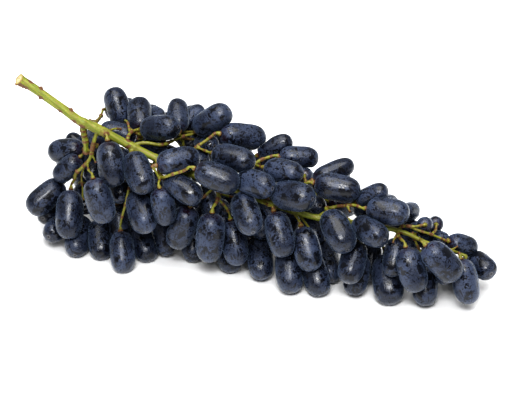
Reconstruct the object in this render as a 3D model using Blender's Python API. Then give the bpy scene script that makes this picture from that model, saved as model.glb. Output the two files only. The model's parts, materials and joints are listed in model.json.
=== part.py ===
"""A bunch of long dark seedless grapes on its green stalk, lying on its side.

Metres, +Z up. X runs along the bunch from its cut stem end to its tip, the bunch rests on
z = 0 and the origin is under the middle of its box. The grapes and stems that show from one
side are placed where they lie in a picture of a real bunch, by the line of sight through
each and the rounded body of the bunch. Those of the far side and the underside are drawn by
a seeded rule. All of them are then settled until they touch without crossing, and the stems
are grown and bent between them.
"""

import math

import bmesh
import bpy
import numpy as np

MM = 0.001

# Driving dimensions
LONG_TO_WIDE = 1.66
HIDDEN_WIDTHS = (14.2 * MM, 16.6 * MM)
HIDDEN_COUNT = 41
HIDDEN_SPACING = 16 * MM
HIDDEN_SEED = 11
GAP = 0.85 * MM
PRESSED = 1.35 * MM
PRESSED_ENOUGH = 0.85 * MM
SUNK = 0.6 * MM
CAP_HALF = 2.1 * MM
CAP_GAP = 0.3 * MM
CAP_LENGTH = 3.2 * MM
PEDICEL_HALF = 0.75 * MM

# The line of sight: a picture of the bunch with 0.60 mm to a pixel at one metre
PIXEL = 0.60 * MM
EYE_DISTANCE = 1.00
EYE_AZIMUTH = math.radians(19)
EYE_ELEVATION = math.radians(31)
PICTURE_MIDDLE = (256, 205)
AIM_POINT = np.array([0.0, 0.0, 40 * MM])

# The body of the bunch, a flattened round section that changes along X
STATION_X = np.array([-150, -128, -100, -60, -15, 30, 70, 105, 132, 160]) * MM
HALF_WIDTH = np.array([18, 38, 49, 50, 47, 42, 36, 28, 21, 12]) * MM
HEIGHT = np.array([36, 64, 86, 91, 84, 76, 66, 52, 37, 19]) * MM
MIDDLE_Y = np.array([12, 12, 13, 12, 12, 12, 11, 8, 5, 2]) * MM
HALF_GRAPE = 8 * MM
SQUARENESS = 2.3
LAYER_DEPTH = 13 * MM
CENTRE_SHIFT = np.array([-1.2, -8.0, 0.0]) * MM

# Settling
BALLS = 6
STEM_ROOM = 2.2 * MM
STEM_REACH = 1.7 * MM
REACH_OF_PAIRS = 42 * MM
MOST_IN_SPRAY = 7
TOUCHING = 4 * MM

# Stems
TWIG_STEP = 2.4 * MM
TWIG_GAP = 1.1 * MM
BARE_UP_TO = 96
BEND_STEPS = 300

# Faceted solids
GRAPE_SIDES = 8
DEEP_GRAPE_SIDES = 6
HIDDEN_GRAPE_SIDES = 7
GRAPE_RINGS = (-0.85, -0.38, 0.38, 0.85)
FACET_SWELL = 1.035
RACHIS_SIDES = 8
TWIG_SIDES = 4
TWIST = 2.4
TWIG_SWELL = 1.12
ROOT_SHARE = 0.6
STRAIGHT_WITHIN = 1.15 * MM
STRAIGHT_CLEAR = 0.65 * MM
THIN_HALF = 1.5 * MM

# Grapes that show: name, stem end x and y, blossom end x and y and width in pixels, layer
# (0 outermost), and 1 where the blossom end is the nearer one or -1 where it is the farther
SEEN = [
    # left shoulder, top and far side
    ("A1", 124, 127, 111.5, 87.5, 25, 0.0, -1),
    ("A2", 142, 130, 139, 97, 24, 0.5, -1),
    ("A3", 140, 130, 181, 128, 26, 0.0, 1),
    ("A4", 83, 147, 43.5, 151, 24.5, 0.0, 1),
    ("A5", 80, 157, 55, 180, 21, 0.9, 1),
    ("A6", 96, 152, 87, 131, 21, 1.0, -1),
    ("A7", 86, 152, 72, 138, 18, 1.4, -1),
    ("A8", 106, 141, 112, 187, 27, 0.0, 1),
    ("A9", 134, 153, 148, 193, 28, 0.0, 1),
    ("A10", 133, 140, 104, 128, 22, 1.0, -1),
    # left shoulder, near side
    ("B1", 63, 182.5, 29, 211.5, 26, 0.0, 1),
    ("B2", 71, 190, 68, 239, 27, 0.0, 1),
    ("B3", 92, 179, 106, 224, 28, 0.0, 1),
    ("B4", 66, 218, 46, 239, 22, 1.0, 1),
    ("B5", 60, 205, 40, 220, 20, 1.3, 1),
    ("B6", 82, 214, 74, 260, 25, 1.0, 1),
    ("B7", 99, 219, 102, 262, 24, 1.0, 1),
    ("B8", 121, 233, 124, 275, 25, 0.0, 1),
    ("B9", 133, 191, 146, 235, 28, 0.0, 1),
    ("B10", 136, 226, 150, 264, 25, 0.8, 1),
    ("B11", 117, 205, 121, 246, 22, 1.2, 1),
    ("B12", 117, 168, 121, 204, 22, 1.0, 1),
    # middle, top and far side
    ("C1", 158, 136, 157, 106, 20, 1.2, -1),
    ("C2", 178, 130, 177, 99, 22, 0.6, -1),
    ("C3", 184, 126, 204, 106, 19, 0.6, -1),
    ("C4", 193, 131, 228.5, 106, 26.5, 0.0, -1),
    ("C5", 219, 135, 268, 138, 26, 0.0, 1),
    ("C6", 156, 159, 200, 152, 27, 0.0, 1),
    ("C7", 210, 152, 256, 162, 27, 0.0, 1),
    ("C8", 196, 169, 238, 185, 28, 0.0, 1),
    ("C9", 238, 178, 273, 188, 27, 0.0, 1),
    # middle, near side
    ("C10", 166, 180, 203, 202, 25, 0.0, 1),
    ("C11", 158, 189, 167, 226, 24, 0.5, 1),
    ("C12", 163, 212, 170, 255, 22, 1.1, 1),
    ("C13", 191, 207, 174, 252, 28, 0.0, 1),
    ("C14", 190, 222, 194, 262, 22, 1.1, 1),
    ("C15", 212, 212, 208, 263, 29, 0.0, 1),
    ("C16", 231, 221, 239, 266, 26, 0.5, 1),
    ("C17", 225, 235, 232, 273, 24, 1.1, 1),
    ("C18", 238, 193, 254, 239, 28, 0.0, 1),
    ("C19", 258, 236, 262, 282, 25, 0.7, 1),
    # right of the middle, top and far side
    ("E1", 260, 158, 293, 139.5, 20, 0.7, -1),
    ("E2", 279, 155.5, 319, 157, 23, 0.3, 1),
    ("E3", 262, 167, 304, 175, 25, 0.0, 1),
    ("E4", 298, 184, 310, 170, 19, 1.4, -1),
    ("E5", 313, 180, 354, 163, 21, 0.4, -1),
    ("E6", 313, 183, 359, 192, 27, 0.0, 1),
    ("E7", 273, 194, 319, 201, 30, 0.0, 1),
    ("E8", 301, 210, 326, 204, 23, 0.9, 1),
    ("E9", 357, 202, 389, 188, 20, 0.5, -1),
    ("E10", 368, 207, 410, 214, 27, 0.0, 1),
    # right of the middle, near side
    ("E11", 354, 221, 390, 242, 27, 0.0, 1),
    ("E12", 327, 213, 344, 252, 30, 0.0, 1),
    ("E13", 274, 212, 286, 257, 28, 0.0, 1),
    ("E14", 285, 249, 289, 294, 27, 0.3, 1),
    ("E15", 301, 227, 313, 271, 27, 0.0, 1),
    ("E16", 312, 252, 323, 296, 26, 0.4, 1),
    ("E17", 324, 240, 334, 287, 24, 0.7, 1),
    ("E18", 358, 240, 347, 284, 26, 0.4, 1),
    ("E19", 362, 254, 354, 295, 25, 0.5, 1),
    ("E20", 371, 252, 368, 292, 21, 1.0, 1),
    # tip
    ("G1", 383, 254, 389.5, 306, 31, 0.0, 1),
    ("G2", 406, 248, 418, 292, 28, 0.0, 1),
    ("G3", 424, 262, 425, 306, 26, 0.8, 1),
    ("G4", 425, 245, 459, 279, 29, 0.0, 1),
    ("G5", 461, 259, 470, 304, 27, 0.2, 1),
    ("G6", 470, 257, 496, 279, 24, 0.0, 1),
    ("G7", 447, 240, 481, 248, 21, 0.2, 1),
    ("G8", 424, 240, 446, 240, 20, 1.3, 1),
    ("G9", 418, 226, 434, 221, 17, 0.7, -1),
    ("G10", 428, 226, 440, 221, 17, 1.2, -1),
    ("G11", 398, 215, 419, 208.5, 19, 0.8, -1),
    ("G12", 380, 206, 397, 199, 16, 1.0, -1),
    ("G13", 397, 238, 391, 277, 22, 1.0, 1),
    ("G15", 440, 256, 446, 284, 20, 0.9, 1),
    # dark ones deep between the others
    ("F1", 122, 150, 126, 182, 22, 1.5, 1),
    ("F2", 92, 151, 96, 184, 21, 2.3, 1),
    ("F3", 152, 172, 160, 200, 20, 1.7, 1),
    ("F4", 180, 170, 186, 206, 22, 1.7, 1),
    ("F6", 262, 190, 276, 214, 20, 1.9, 1),
    ("F7", 306, 212, 318, 244, 22, 2.2, 1),
    ("F8", 352, 202, 372, 214, 22, 1.6, 1),
    ("F9", 372, 240, 368, 282, 22, 1.5, 1),
    ("F10", 402, 234, 410, 262, 20, 1.5, 1),
    ("F11", 205, 205, 196, 240, 22, 1.7, 1),
    ("F12", 261, 206, 263, 240, 21, 1.8, 1),
    ("F13", 140, 151, 166, 143, 20, 1.6, 1),
    ("F14", 203, 188, 214, 216, 21, 2.1, 1),
    ("F15", 221, 198, 224, 232, 21, 2.1, 1),
    ("F16", 196, 138, 218, 147, 19, 1.7, 1),
    ("F17", 80, 185, 87, 214, 20, 2.2, 1),
    ("F18", 397, 221, 424, 232, 17, 1.3, 1),
    ("F19", 184, 157, 208, 163, 20, 2.6, 1),
    ("F20", 177, 143, 192, 131, 18, 2.0, -1),
    ("F21", 412, 236, 427, 246, 15, 1.5, 1),
]
OUTER_COUNT = sum(not row[0].startswith("F") for row in SEEN)
NUMBER = {row[0]: number for number, row in enumerate(SEEN)}

# Main stem: x and y in pixels, depth under the outer grapes in mm (None on the bare end,
# which rises towards the eye), half width in mm
RACHIS = [
    (19, 79, None, 3.5), (22.5, 81, None, 2.85), (34.6, 88.6, None, 2.65), (50, 99.5, None, 2.6),
    (65.5, 110.5, None, 2.6), (80, 121, None, 2.75), (95.5, 127.9, None, 2.75),
    (110.4, 135.4, None, 2.6), (130.3, 145.6, 4, 2.4), (156, 158, 13, 2.3), (200, 177, 17, 2.2),
    (240, 191, 14, 2.1), (270, 203, 11, 2.0),
    (310, 216, 13, 1.8), (350, 222, 12, 1.6), (387, 228, 9, 1.4), (408, 234, 6, 1.25),
    (423, 241, 6, 1.15), (450, 250, 6, 1.0), (466, 256, 5, 0.9)]
BARE_RISE = 16 * MM
BARE_FROM = 130
BARE_LENGTH = 111
CUT_SLANT = 0.45

# Side stems that show: points in pixels, half widths at root and end in mm, and either the
# grape at the end or the end's depth under the outer grapes in mm
TWIGS = [
    ([(84, 123), (83, 131), (86, 140), (89, 149)], 1.9, 1.5, 9),
    ([(97, 130), (95, 137), (93, 145), (92, 152), (91, 160), (85, 165), (77, 172)], 1.25, 1.0, 2),
    ([(92, 149), (88, 148)], 0.75, 0.7, "A4"),
    ([(77, 172), (69, 174)], 0.85, 0.75, "B1"),
    ([(77, 172), (75, 179)], 0.85, 0.75, "B2"),
    ([(87, 164), (89, 172)], 0.8, 0.7, "B3"),
    ([(86, 165), (81, 177), (83, 188)], 0.75, 0.75, "B6"),
    ([(93, 155), (96, 163)], 0.7, 0.6, 3),
    ([(103, 132)], 1.0, 0.9, "A8"),
    ([(97, 127), (96, 122), (99, 119), (101, 116)], 1.0, 0.8, -2),
    ([(96, 121), (90, 121)], 0.8, 0.8, -1),
    ([(108, 132), (114, 128), (121, 129)], 0.75, 0.6, 1),
    ([(126, 142), (128, 134), (131, 131)], 1.2, 1.0, "A3"),
    ([(130, 132), (128, 127)], 0.8, 0.75, "A1"),
    ([(132, 144), (141, 142), (155, 143), (166, 142), (176, 140), (184, 135)], 1.35, 1.0, "C4"),
    ([(183, 136)], 0.8, 0.75, "C3"),
    ([(128, 146)], 1.0, 0.8, "A9"),
    ([(182, 168), (190, 153), (197, 146), (206, 141)], 1.2, 1.0, "C5"),
    ([(197, 147), (203, 150)], 0.9, 0.8, "C7"),
    ([(156, 160), (159, 171), (172, 172), (182, 172), (189, 169)], 1.3, 0.9, "C8"),
    ([(159, 173)], 0.9, 0.8, "C10"),
    ([(214, 182), (218, 190), (219, 200)], 1.2, 1.0, "C15"),
    ([(215, 186), (209, 192), (202, 199)], 1.0, 0.9, "C13"),
    ([(219, 198), (225, 205), (229, 212)], 0.9, 0.85, "C16"),
    ([(225, 186), (229, 191)], 0.9, 0.85, "C18"),
    ([(262, 199), (268, 206)], 1.0, 0.9, "E13"),
    ([(294, 211), (297, 219)], 1.0, 0.9, "E15"),
    ([(298, 213), (304, 221), (311, 230)], 1.0, 0.8, "E16"),
    ([(318, 217), (325, 212), (330, 209), (335, 205), (343, 206), (350, 205), (358, 204)],
     1.2, 0.9, "E10"),
    ([(331, 209), (338, 212), (345, 217)], 0.9, 0.8, "E11"),
    ([(346, 206), (350, 212)], 0.7, 0.6, 2),
    ([(298, 212), (297, 196), (302, 185)], 1.2, 1.0, "E6"),
    ([(302, 186), (307, 180)], 0.8, 0.75, "E5"),
    ([(246, 193), (248, 175), (253, 164), (262, 159)], 1.2, 1.0, "E2"),
    ([(253, 166)], 0.9, 0.8, "E3"),
    ([(396, 229), (402, 223), (408, 227)], 1.0, 0.8, "G9"),
    ([(407, 228), (415, 230), (423, 231), (435, 236)], 0.95, 0.8, "G7"),
    ([(396, 231), (399, 238)], 0.9, 0.8, "G2"),
    ([(398, 236), (391, 238), (393, 243)], 0.7, 0.6, 3),
    ([(412, 235), (415, 240), (418, 248)], 0.8, 0.7, "G3"),
    ([(375, 226), (380, 236), (382, 246)], 1.0, 0.9, "G1"),
    ([(419, 239)], 0.9, 0.85, "G4"),
    ([(135, 148), (128, 190), (124, 210), (121, 219)], 1.3, 0.8, "B8"),
    ([(131, 172), (132, 181)], 0.9, 0.8, "B9"),
    ([(450, 250), (454, 249), (458, 246)], 0.7, 0.6, 2),
    ([(466, 256)], 0.85, 0.8, "G6"),
    ([(455, 252)], 0.85, 0.8, "G5"),
]

RIGHT = np.array([math.cos(EYE_AZIMUTH), math.sin(EYE_AZIMUTH), 0.0])
BACK = np.array([
    math.sin(EYE_AZIMUTH) * math.cos(EYE_ELEVATION),
    -math.cos(EYE_AZIMUTH) * math.cos(EYE_ELEVATION),
    math.sin(EYE_ELEVATION)])
UP = np.cross(BACK, RIGHT)
EYE = AIM_POINT + BACK * EYE_DISTANCE
DEPTHS = np.arange(0.13, -0.13, -0.0015)
ENVELOPE_ENDS = 0.165


def unit(vector):
    return vector / np.maximum(np.linalg.norm(vector, axis=-1, keepdims=True), 1e-12)


def seen_at(x, y, near):
    """The point behind pixel x, y that lies near metres in front of the plane through AIM_POINT."""
    spread = (EYE_DISTANCE - near) / EYE_DISTANCE * PIXEL
    return (AIM_POINT + np.multiply.outer(near, BACK)
            + np.multiply.outer((x - PICTURE_MIDDLE[0]) * spread, RIGHT)
            + np.multiply.outer((PICTURE_MIDDLE[1] - y) * spread, UP))


def picture_of(point):
    """Pixel x, y and nearness of a point."""
    away = point - AIM_POINT
    near = away @ BACK
    spread = (EYE_DISTANCE - near) / EYE_DISTANCE * PIXEL
    return PICTURE_MIDDLE[0] + away @ RIGHT / spread, PICTURE_MIDDLE[1] - away @ UP / spread, near


def body_at(x):
    """Half width, half height and middle in Y of the body that holds the grapes' middles."""
    width = np.interp(x, STATION_X, HALF_WIDTH) - HALF_GRAPE
    height = np.interp(x, STATION_X, HEIGHT) / 2 - HALF_GRAPE
    return width, height, np.interp(x, STATION_X, MIDDLE_Y)


def surface_depth(x, y):
    """How near the body comes behind a pixel, or comes closest to it."""
    points = seen_at(x, y, DEPTHS)
    width, height, middle = body_at(points[:, 0])
    rise = points[:, 2] - height - HALF_GRAPE
    value = (np.abs((points[:, 1] - middle) / width) ** SQUARENESS + np.abs(rise / height) ** SQUARENESS
             + np.maximum(0, np.abs(points[:, 0]) - ENVELOPE_ENDS) * 100)
    inside = np.nonzero(value < 1)[0]
    return DEPTHS[inside[0] if len(inside) else np.argmin(value)]


def seen_grapes():
    """Stem and blossom ends, and widths, of the grapes that show, tilted to their real length."""
    ends, widths = [], []
    for _, sx, sy, tx, ty, width, layer, sign in SEEN:
        length = math.hypot(tx - sx, ty - sy)
        mx, my = (sx + tx) / 2, (sy + ty) / 2
        near = surface_depth(mx, my) - layer * LAYER_DEPTH
        scale = (EYE_DISTANCE - near) / EYE_DISTANCE * PIXEL
        wide, shown = width * scale, length * scale
        real = max(LONG_TO_WIDE * wide, shown)
        share = max(0.0, (shown ** 2 - wide ** 2) / (real ** 2 - wide ** 2))
        tilt = math.acos(min(1.0, math.sqrt(share)))
        push = math.sin(tilt) * real / 2 * sign
        grow = math.cos(tilt) * real / shown
        ends.append([
            seen_at(mx + (sx - mx) * grow, my + (sy - my) * grow, near - push),
            seen_at(mx + (tx - mx) * grow, my + (ty - my) * grow, near + push)])
        widths.append(wide)
    return np.array(ends), np.array(widths)


def behind_seen(x, y, grow):
    """Whether a grape that shows covers a pixel, its outline grown by some pixels."""
    for _, sx, sy, tx, ty, width, _, _ in SEEN:
        length = math.hypot(tx - sx, ty - sy)
        ux, uy = (tx - sx) / length, (ty - sy) / length
        dx, dy = x - (sx + tx) / 2, y - (sy + ty) / 2
        along = (dx * ux + dy * uy) / (length / 2 + grow)
        across = (dy * ux - dx * uy) / (width / 2 + grow)
        if along ** 2 + across ** 2 < 1:
            return True
    return False


def out_of_sight(stem, tip, width, grow):
    """Whether a grape's whole outline lies behind the grapes that show."""
    ax, ay, _ = picture_of(stem)
    bx, by, _ = picture_of(tip)
    half = width / 2 / PIXEL
    ux, uy = (bx - ax) / 2, (by - ay) / 2
    size = math.hypot(ux, uy)
    for turn in np.linspace(0, 2 * math.pi, 12, endpoint=False):
        along, across = math.cos(turn) * max(half, size) / size, math.sin(turn) * half / size
        x = (ax + bx) / 2 + along * ux - across * uy
        y = (ay + by) / 2 + along * uy + across * ux
        if not behind_seen(x, y, grow):
            return False
    return True


def hidden_grapes(taken, rachis):
    """Seeded grapes of the far side and the underside, pointing away from the main stem."""
    rng = np.random.default_rng(HIDDEN_SEED)
    ends, widths = [], []
    spots = list(taken)
    for _ in range(9000):
        x = rng.uniform(-0.140, 0.155)
        angle = rng.uniform(0, 2 * math.pi)
        under = rng.uniform(0, 1) ** 2 * 14 * MM
        wobble = rng.normal(0, 0.22, 3)
        wide = rng.uniform(*HIDDEN_WIDTHS)
        width, height, middle = body_at(x)
        c, s = math.cos(angle), math.sin(angle)
        reach = (abs(c / width) ** SQUARENESS + abs(s / height) ** SQUARENESS) ** (-1 / SQUARENESS)
        reach -= under
        spot = np.array([x, middle + reach * c, height + HALF_GRAPE + reach * s])
        if np.linalg.norm(np.array(spots) - spot, axis=1).min() < HIDDEN_SPACING:
            continue
        root = rachis[np.argmin(np.linalg.norm(rachis - spot, axis=1))]
        axis = unit(unit(spot - root) * 0.9 + np.array([0.45, 0, -0.35]) + wobble)
        if spot[2] < 2 * HALF_GRAPE:
            axis = unit(axis * np.array([1, 1, 0.25]))
        half = axis * wide * LONG_TO_WIDE / 2
        px, py, near = picture_of(spot)
        if near > surface_depth(px, py) - 20 * MM or not out_of_sight(spot - half, spot + half, wide, 3):
            continue
        ends.append((spot - half, spot + half))
        widths.append(wide)
        spots.append(spot)
        if len(ends) == HIDDEN_COUNT:
            break
    return np.array(ends), np.array(widths)


def profile(t):
    """Half width over the widest one, t from -1 at the stem end to 1 at the blossom end."""
    return (1 - np.abs(t) ** 3.4) ** (1 / 2.15)


def balls_of(ends, widths):
    """Share along each grape's axis and radius of a ball for its stem and of five that fill it."""
    shares, radii = [], []
    t = np.linspace(-1, 1, 401)
    for length, width in zip(np.linalg.norm(ends[:, 1] - ends[:, 0], axis=1), widths):
        along, half = t * length / 2, profile(t) * width / 2
        reach = length / 2 - 0.43 * width
        places = np.linspace(-reach, reach, BALLS - 1)
        inner = [np.sqrt((along - place) ** 2 + half ** 2).min() for place in places]
        shares.append([-STEM_REACH / length, *((places + length / 2) / length)])
        radii.append([STEM_ROOM, *inner])
    return np.array(shares), np.array(radii)


def balls_at(ends, shares):
    return ends[:, None, 0] * (1 - shares)[..., None] + ends[:, None, 1] * shares[..., None]


def settle(ends, widths, seen, stem, held, home, steps):
    """Parts grapes that cross, presses held pairs together and keeps all off the main stem.

    A grape that shows moves mostly along the line of sight, and is drawn back to its place
    in the picture. Each step moves the ends of an axis by their shares of the push, and then
    puts its length right.
    """
    ends = ends.copy()
    count = len(ends)
    lengths = np.linalg.norm(ends[:, 1] - ends[:, 0], axis=1)
    shares, radii = balls_of(ends, widths)
    first, second = np.triu_indices(count, 1)
    held_pairs = {tuple(sorted(pair)) for pair in held}
    glued = np.array([pair in held_pairs for pair in zip(first.tolist(), second.tolist())])
    sideways = np.where(seen, 0.1, 1.0)[:, None]
    for _ in range(steps):
        moves = np.zeros_like(ends)
        hits = np.zeros(count)
        balls = balls_at(ends, shares)
        middle = ends.mean(axis=1)
        ray = unit(EYE - middle)

        def eased(who, normal):
            along = (normal * ray[who]).sum(-1)[:, None] * ray[who]
            return along + (normal - along) * sideways[who]

        def give(who, share, normal):
            return ((1 - share) ** 2 + share ** 2) * (normal * eased(who, normal)).sum(1)

        def push(who, share, normal, amount):
            step = amount[:, None] * eased(who, normal)
            np.add.at(moves[:, 0], who, (1 - share)[:, None] * step)
            np.add.at(moves[:, 1], who, share[:, None] * step)
            np.add.at(hits, who, 1)

        def part(a, b, from_ball, to_ball, pressed):
            """Pushes a and b to their distance where a's balls from_ball to to_ball come nearest."""
            width = BALLS - 1
            apart = balls[a][:, from_ball:to_ball, None] - balls[b][:, None, 1:]
            reach = radii[a][:, from_ball:to_ball, None] + radii[b][:, None, 1:]
            free = np.linalg.norm(apart, axis=-1) - reach
            best = free.reshape(len(a), -1).argmin(axis=1)
            found = free.reshape(len(a), -1)[np.arange(len(a)), best]
            want = np.where(pressed, -PRESSED, GAP)
            act = np.nonzero(np.where(pressed, np.abs(found - want) > 0.02 * MM, found < want))[0]
            a, b, best = a[act], b[act], best[act]
            normal = unit(apart[act, best // width, best % width])
            share_a, share_b = shares[a, from_ball + best // width], shares[b, 1 + best % width]
            amount = (want - found)[act] / (give(a, share_a, normal) + give(b, share_b, normal))
            push(a, share_a, normal, amount)
            push(b, share_b, normal, -amount)

        near = np.linalg.norm(middle[first] - middle[second], axis=1) < REACH_OF_PAIRS
        a, b = first[near], second[near]
        part(a, b, 1, BALLS, glued[near])
        part(a, b, 0, 1, np.zeros(len(a), bool))
        part(b, a, 0, 1, np.zeros(len(a), bool))

        apart = balls[:, 1:, None] - stem[None, None, :, :3]
        reach = radii[:, 1:, None] + stem[None, None, :, 3]
        free = (np.linalg.norm(apart, axis=-1) - reach).reshape(count, -1)
        best = free.argmin(axis=1)
        found = free[np.arange(count), best]
        who = np.nonzero(found < GAP)[0]
        ball, spot = best[who] // len(stem), best[who] % len(stem)
        normal = unit(apart[who, ball, spot])
        share = shares[who, ball + 1]
        push(who, share, normal, (GAP - found[who]) / give(who, share, normal))

        ends += moves / np.maximum(1, hits * 0.55)[:, None, None]
        drift = home - ends
        along = (drift * ray[:, None]).sum(-1)[..., None] * ray[:, None]
        ends += np.where(seen, 0.02, 0.0)[:, None, None] * (drift - along)
        axis = ends[:, 1] - ends[:, 0]
        long = np.linalg.norm(axis, axis=1)
        fix = axis / long[:, None] * ((long - lengths) / 2)[:, None]
        ends[:, 0] += fix
        ends[:, 1] -= fix
        low = balls_at(ends, shares)[:, :, 2] - radii
        ends[:, 0, 2] += np.maximum(0, -low[:, 1] - SUNK)
        ends[:, 1, 2] += np.maximum(0, -low[:, -1] - SUNK)
    return ends


def gap_between(ends, widths, a, b):
    """How far apart grapes a and b are, below 0 where they are pressed together."""
    shares, radii = balls_of(ends[[a, b]], widths[[a, b]])
    balls = balls_at(ends[[a, b]], shares)[:, 1:]
    apart = np.linalg.norm(balls[0][:, None] - balls[1], axis=-1)
    return (apart - radii[0, 1:, None] - radii[1, 1:]).min()


def grouped(count, held):
    """The spray that each grape belongs to: those that held pairs join."""
    head = list(range(count))
    for a, b in held:
        old, new = head[b], head[a]
        head = [new if number == old else number for number in head]
    return head


def sprays(ends, widths):
    """The touching pairs that hold the grapes of each spray together."""
    shares, radii = balls_of(ends, widths)
    balls = balls_at(ends, shares)[:, 1:]
    first, second = np.triu_indices(len(ends), 1)
    free = (np.linalg.norm(balls[first][:, :, None] - balls[second][:, None], axis=-1)
            - radii[first][:, 1:, None] - radii[second][:, None, 1:]).reshape(len(first), -1).min(axis=1)
    pairs = [(int(first[k]), int(second[k])) for k in np.argsort(free) if free[k] < TOUCHING]
    head = list(range(len(ends)))
    held = []

    def members(grape):
        return [k for k in range(len(ends)) if head[k] == head[grape]]

    for small_join_anything in (False, True):
        for a, b in pairs:
            if head[a] == head[b]:
                continue
            ours, theirs = members(a), members(b)
            most = MOST_IN_SPRAY + 2 * small_join_anything
            both_large = min(len(ours), len(theirs)) > 2
            if len(ours) + len(theirs) > most or (small_join_anything and both_large):
                continue
            for k in theirs:
                head[k] = head[a]
            held.append((a, b))
    return held


def spaced(points, step):
    """Points about a step apart on a smooth curve through the given ones."""
    points = np.asarray(points)
    knots = np.concatenate([[0], np.cumsum(np.linalg.norm(np.diff(points, axis=0), axis=1))])
    slopes = np.gradient(points, knots, axis=0)
    places = np.linspace(0, knots[-1], max(2, int(round(knots[-1] / step)) + 1))
    span = np.clip(np.searchsorted(knots, places, side="right") - 1, 0, len(knots) - 2)
    h = (knots[span + 1] - knots[span])[:, None]
    u = (places - knots[span])[:, None] / h
    curve = ((2 * u ** 3 - 3 * u ** 2 + 1) * points[span] + (u ** 3 - 2 * u ** 2 + u) * h * slopes[span]
             + (3 * u ** 2 - 2 * u ** 3) * points[span + 1] + (u ** 3 - u ** 2) * h * slopes[span + 1])
    return curve, np.interp(places, knots, np.arange(len(knots)))


class Stem:
    """One stem: points and half widths from its root, its parent's number and point, its grape."""

    def __init__(self, points, thick, thin, parent, grape, shows):
        self.points = points
        self.half = np.linspace(thick, thin, len(points))
        self.parent = parent
        self.grape = grape
        self.shows = shows


def main_stem():
    x, y, under, _ = next(row for row in RACHIS if row[2] is not None)
    start = surface_depth(x, y) - under * MM
    points = []
    for x, y, under, _ in RACHIS:
        if under is None:
            points.append(seen_at(x, y, start + (BARE_FROM - x) / BARE_LENGTH * BARE_RISE))
        else:
            points.append(seen_at(x, y, surface_depth(x, y) - under * MM))
    line, place = spaced(points, TWIG_STEP)
    stem = Stem(line, 0, 0, None, None, True)
    stem.half = np.interp(place, np.arange(len(RACHIS)), [row[3] * MM for row in RACHIS])
    return stem


def cut_facing(main):
    """The way the cut end faces: out along the main stem, slanted towards the eye."""
    out = unit(main.points[0] - main.points[1])
    return unit(out + CUT_SLANT * unit(EYE + CENTRE_SHIFT - main.points[0]))


def cap_points(ends, grape):
    """Where a stem meets its grape, and the point before that, out along the grape's axis."""
    out = unit(ends[grape, 0] - ends[grape, 1])
    return ends[grape, 0] + out * CAP_GAP, ends[grape, 0] + out * (CAP_GAP + CAP_LENGTH)


def seen_stems(stems, ends):
    """Adds the side stems that show, each from the nearest point of those before it."""
    for route, thick, thin, goal in TWIGS:
        grape = NUMBER[goal] if isinstance(goal, str) else None
        choices = []
        for k, stem in enumerate(stems):
            last = len(stem.points) - (3 if stem.grape is not None else 0)
            for i, point in enumerate(stem.points[:last]):
                x, y, _ = picture_of(point)
                choices.append((math.hypot(x - route[0][0], y - route[0][1]), k, i))
        _, k, i = min(choices)
        root = stems[k].points[i]
        x, y, start = picture_of(root)
        stops = [(x, y), *route[1:]]
        finish = surface_depth(*route[-1]) - goal * MM if grape is None else None
        if grape is not None:
            tip, before = cap_points(ends, grape)
            x, y, finish = picture_of(before)
            stops.append((x, y))
        steps = [math.dist(a, b) for a, b in zip(stops[:-1], stops[1:])]
        along = np.concatenate([[0], np.cumsum(steps)])
        points = [seen_at(x, y, start + (finish - start) * place / along[-1])
                  for (x, y), place in zip(stops, along)]
        line, _ = spaced(points, TWIG_STEP)
        if grape is not None:
            line = np.vstack([line, tip])
        stems.append(Stem(line, thick * MM, thin * MM, (k, i), grape, True))


def grown_stems(stems, ends, widths):
    """Joins each grape that has no stem yet to the stalk so far, the cheapest join first.

    A join costs its length and what it would pass through grapes on a straight way.
    """
    shares, radii = balls_of(ends, widths)
    balls, sizes = balls_at(ends, shares)[:, 1:].reshape(-1, 3), radii[:, 1:].ravel()
    with_stem = {stem.grape for stem in stems}
    todo = [k for k in range(len(ends)) if k not in with_stem]
    before = {grape: cap_points(ends, grape)[1] for grape in todo}
    best = {grape: (math.inf, None, None) for grape in todo}
    shares_of_way = np.linspace(0, 1, 9)[:, None]

    def offer(k):
        stem = stems[k]
        first = 1 if k else int(np.argmax(picture_of(stem.points)[0] > BARE_UP_TO))
        last = len(stem.points) if stem.grape is None else max(2, int(len(stem.points) * 0.6))
        roots = stem.points[first:last]
        for grape in todo:
            away = np.linalg.norm(roots - before[grape], axis=1)
            for i in np.argsort(away)[:6]:
                if not 4 * MM < away[i] < best[grape][0]:
                    continue
                way = roots[i] + (before[grape] - roots[i]) * shares_of_way
                free = (np.linalg.norm(way[:, None] - balls, axis=-1) - sizes).min(axis=1)
                cost = away[i] + 1.5 * np.maximum(0, TWIG_GAP - free).sum()
                if cost < best[grape][0]:
                    best[grape] = (cost, (k, first + int(i)), roots[i])

    for k in range(len(stems)):
        offer(k)
    while todo:
        grape = min(todo, key=lambda number: best[number][0])
        todo.remove(grape)
        _, parent, root = best[grape]
        tip, end = cap_points(ends, grape)
        lead = end + unit(end - tip) * min(3 * MM, np.linalg.norm(end - root) / 3)
        line, _ = spaced([root, lead, end], TWIG_STEP)
        stems.append(Stem(np.vstack([line, tip]), 0.95 * MM, PEDICEL_HALF, parent, grape, False))
        offer(len(stems) - 1)


def evenly(points):
    """As many points, spread evenly along the same line."""
    along = np.concatenate([[0], np.cumsum(np.linalg.norm(np.diff(points, axis=0), axis=1))])
    places = np.linspace(0, along[-1], len(points))
    return np.column_stack([np.interp(places, along, points[:, axis]) for axis in range(3)])


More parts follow.
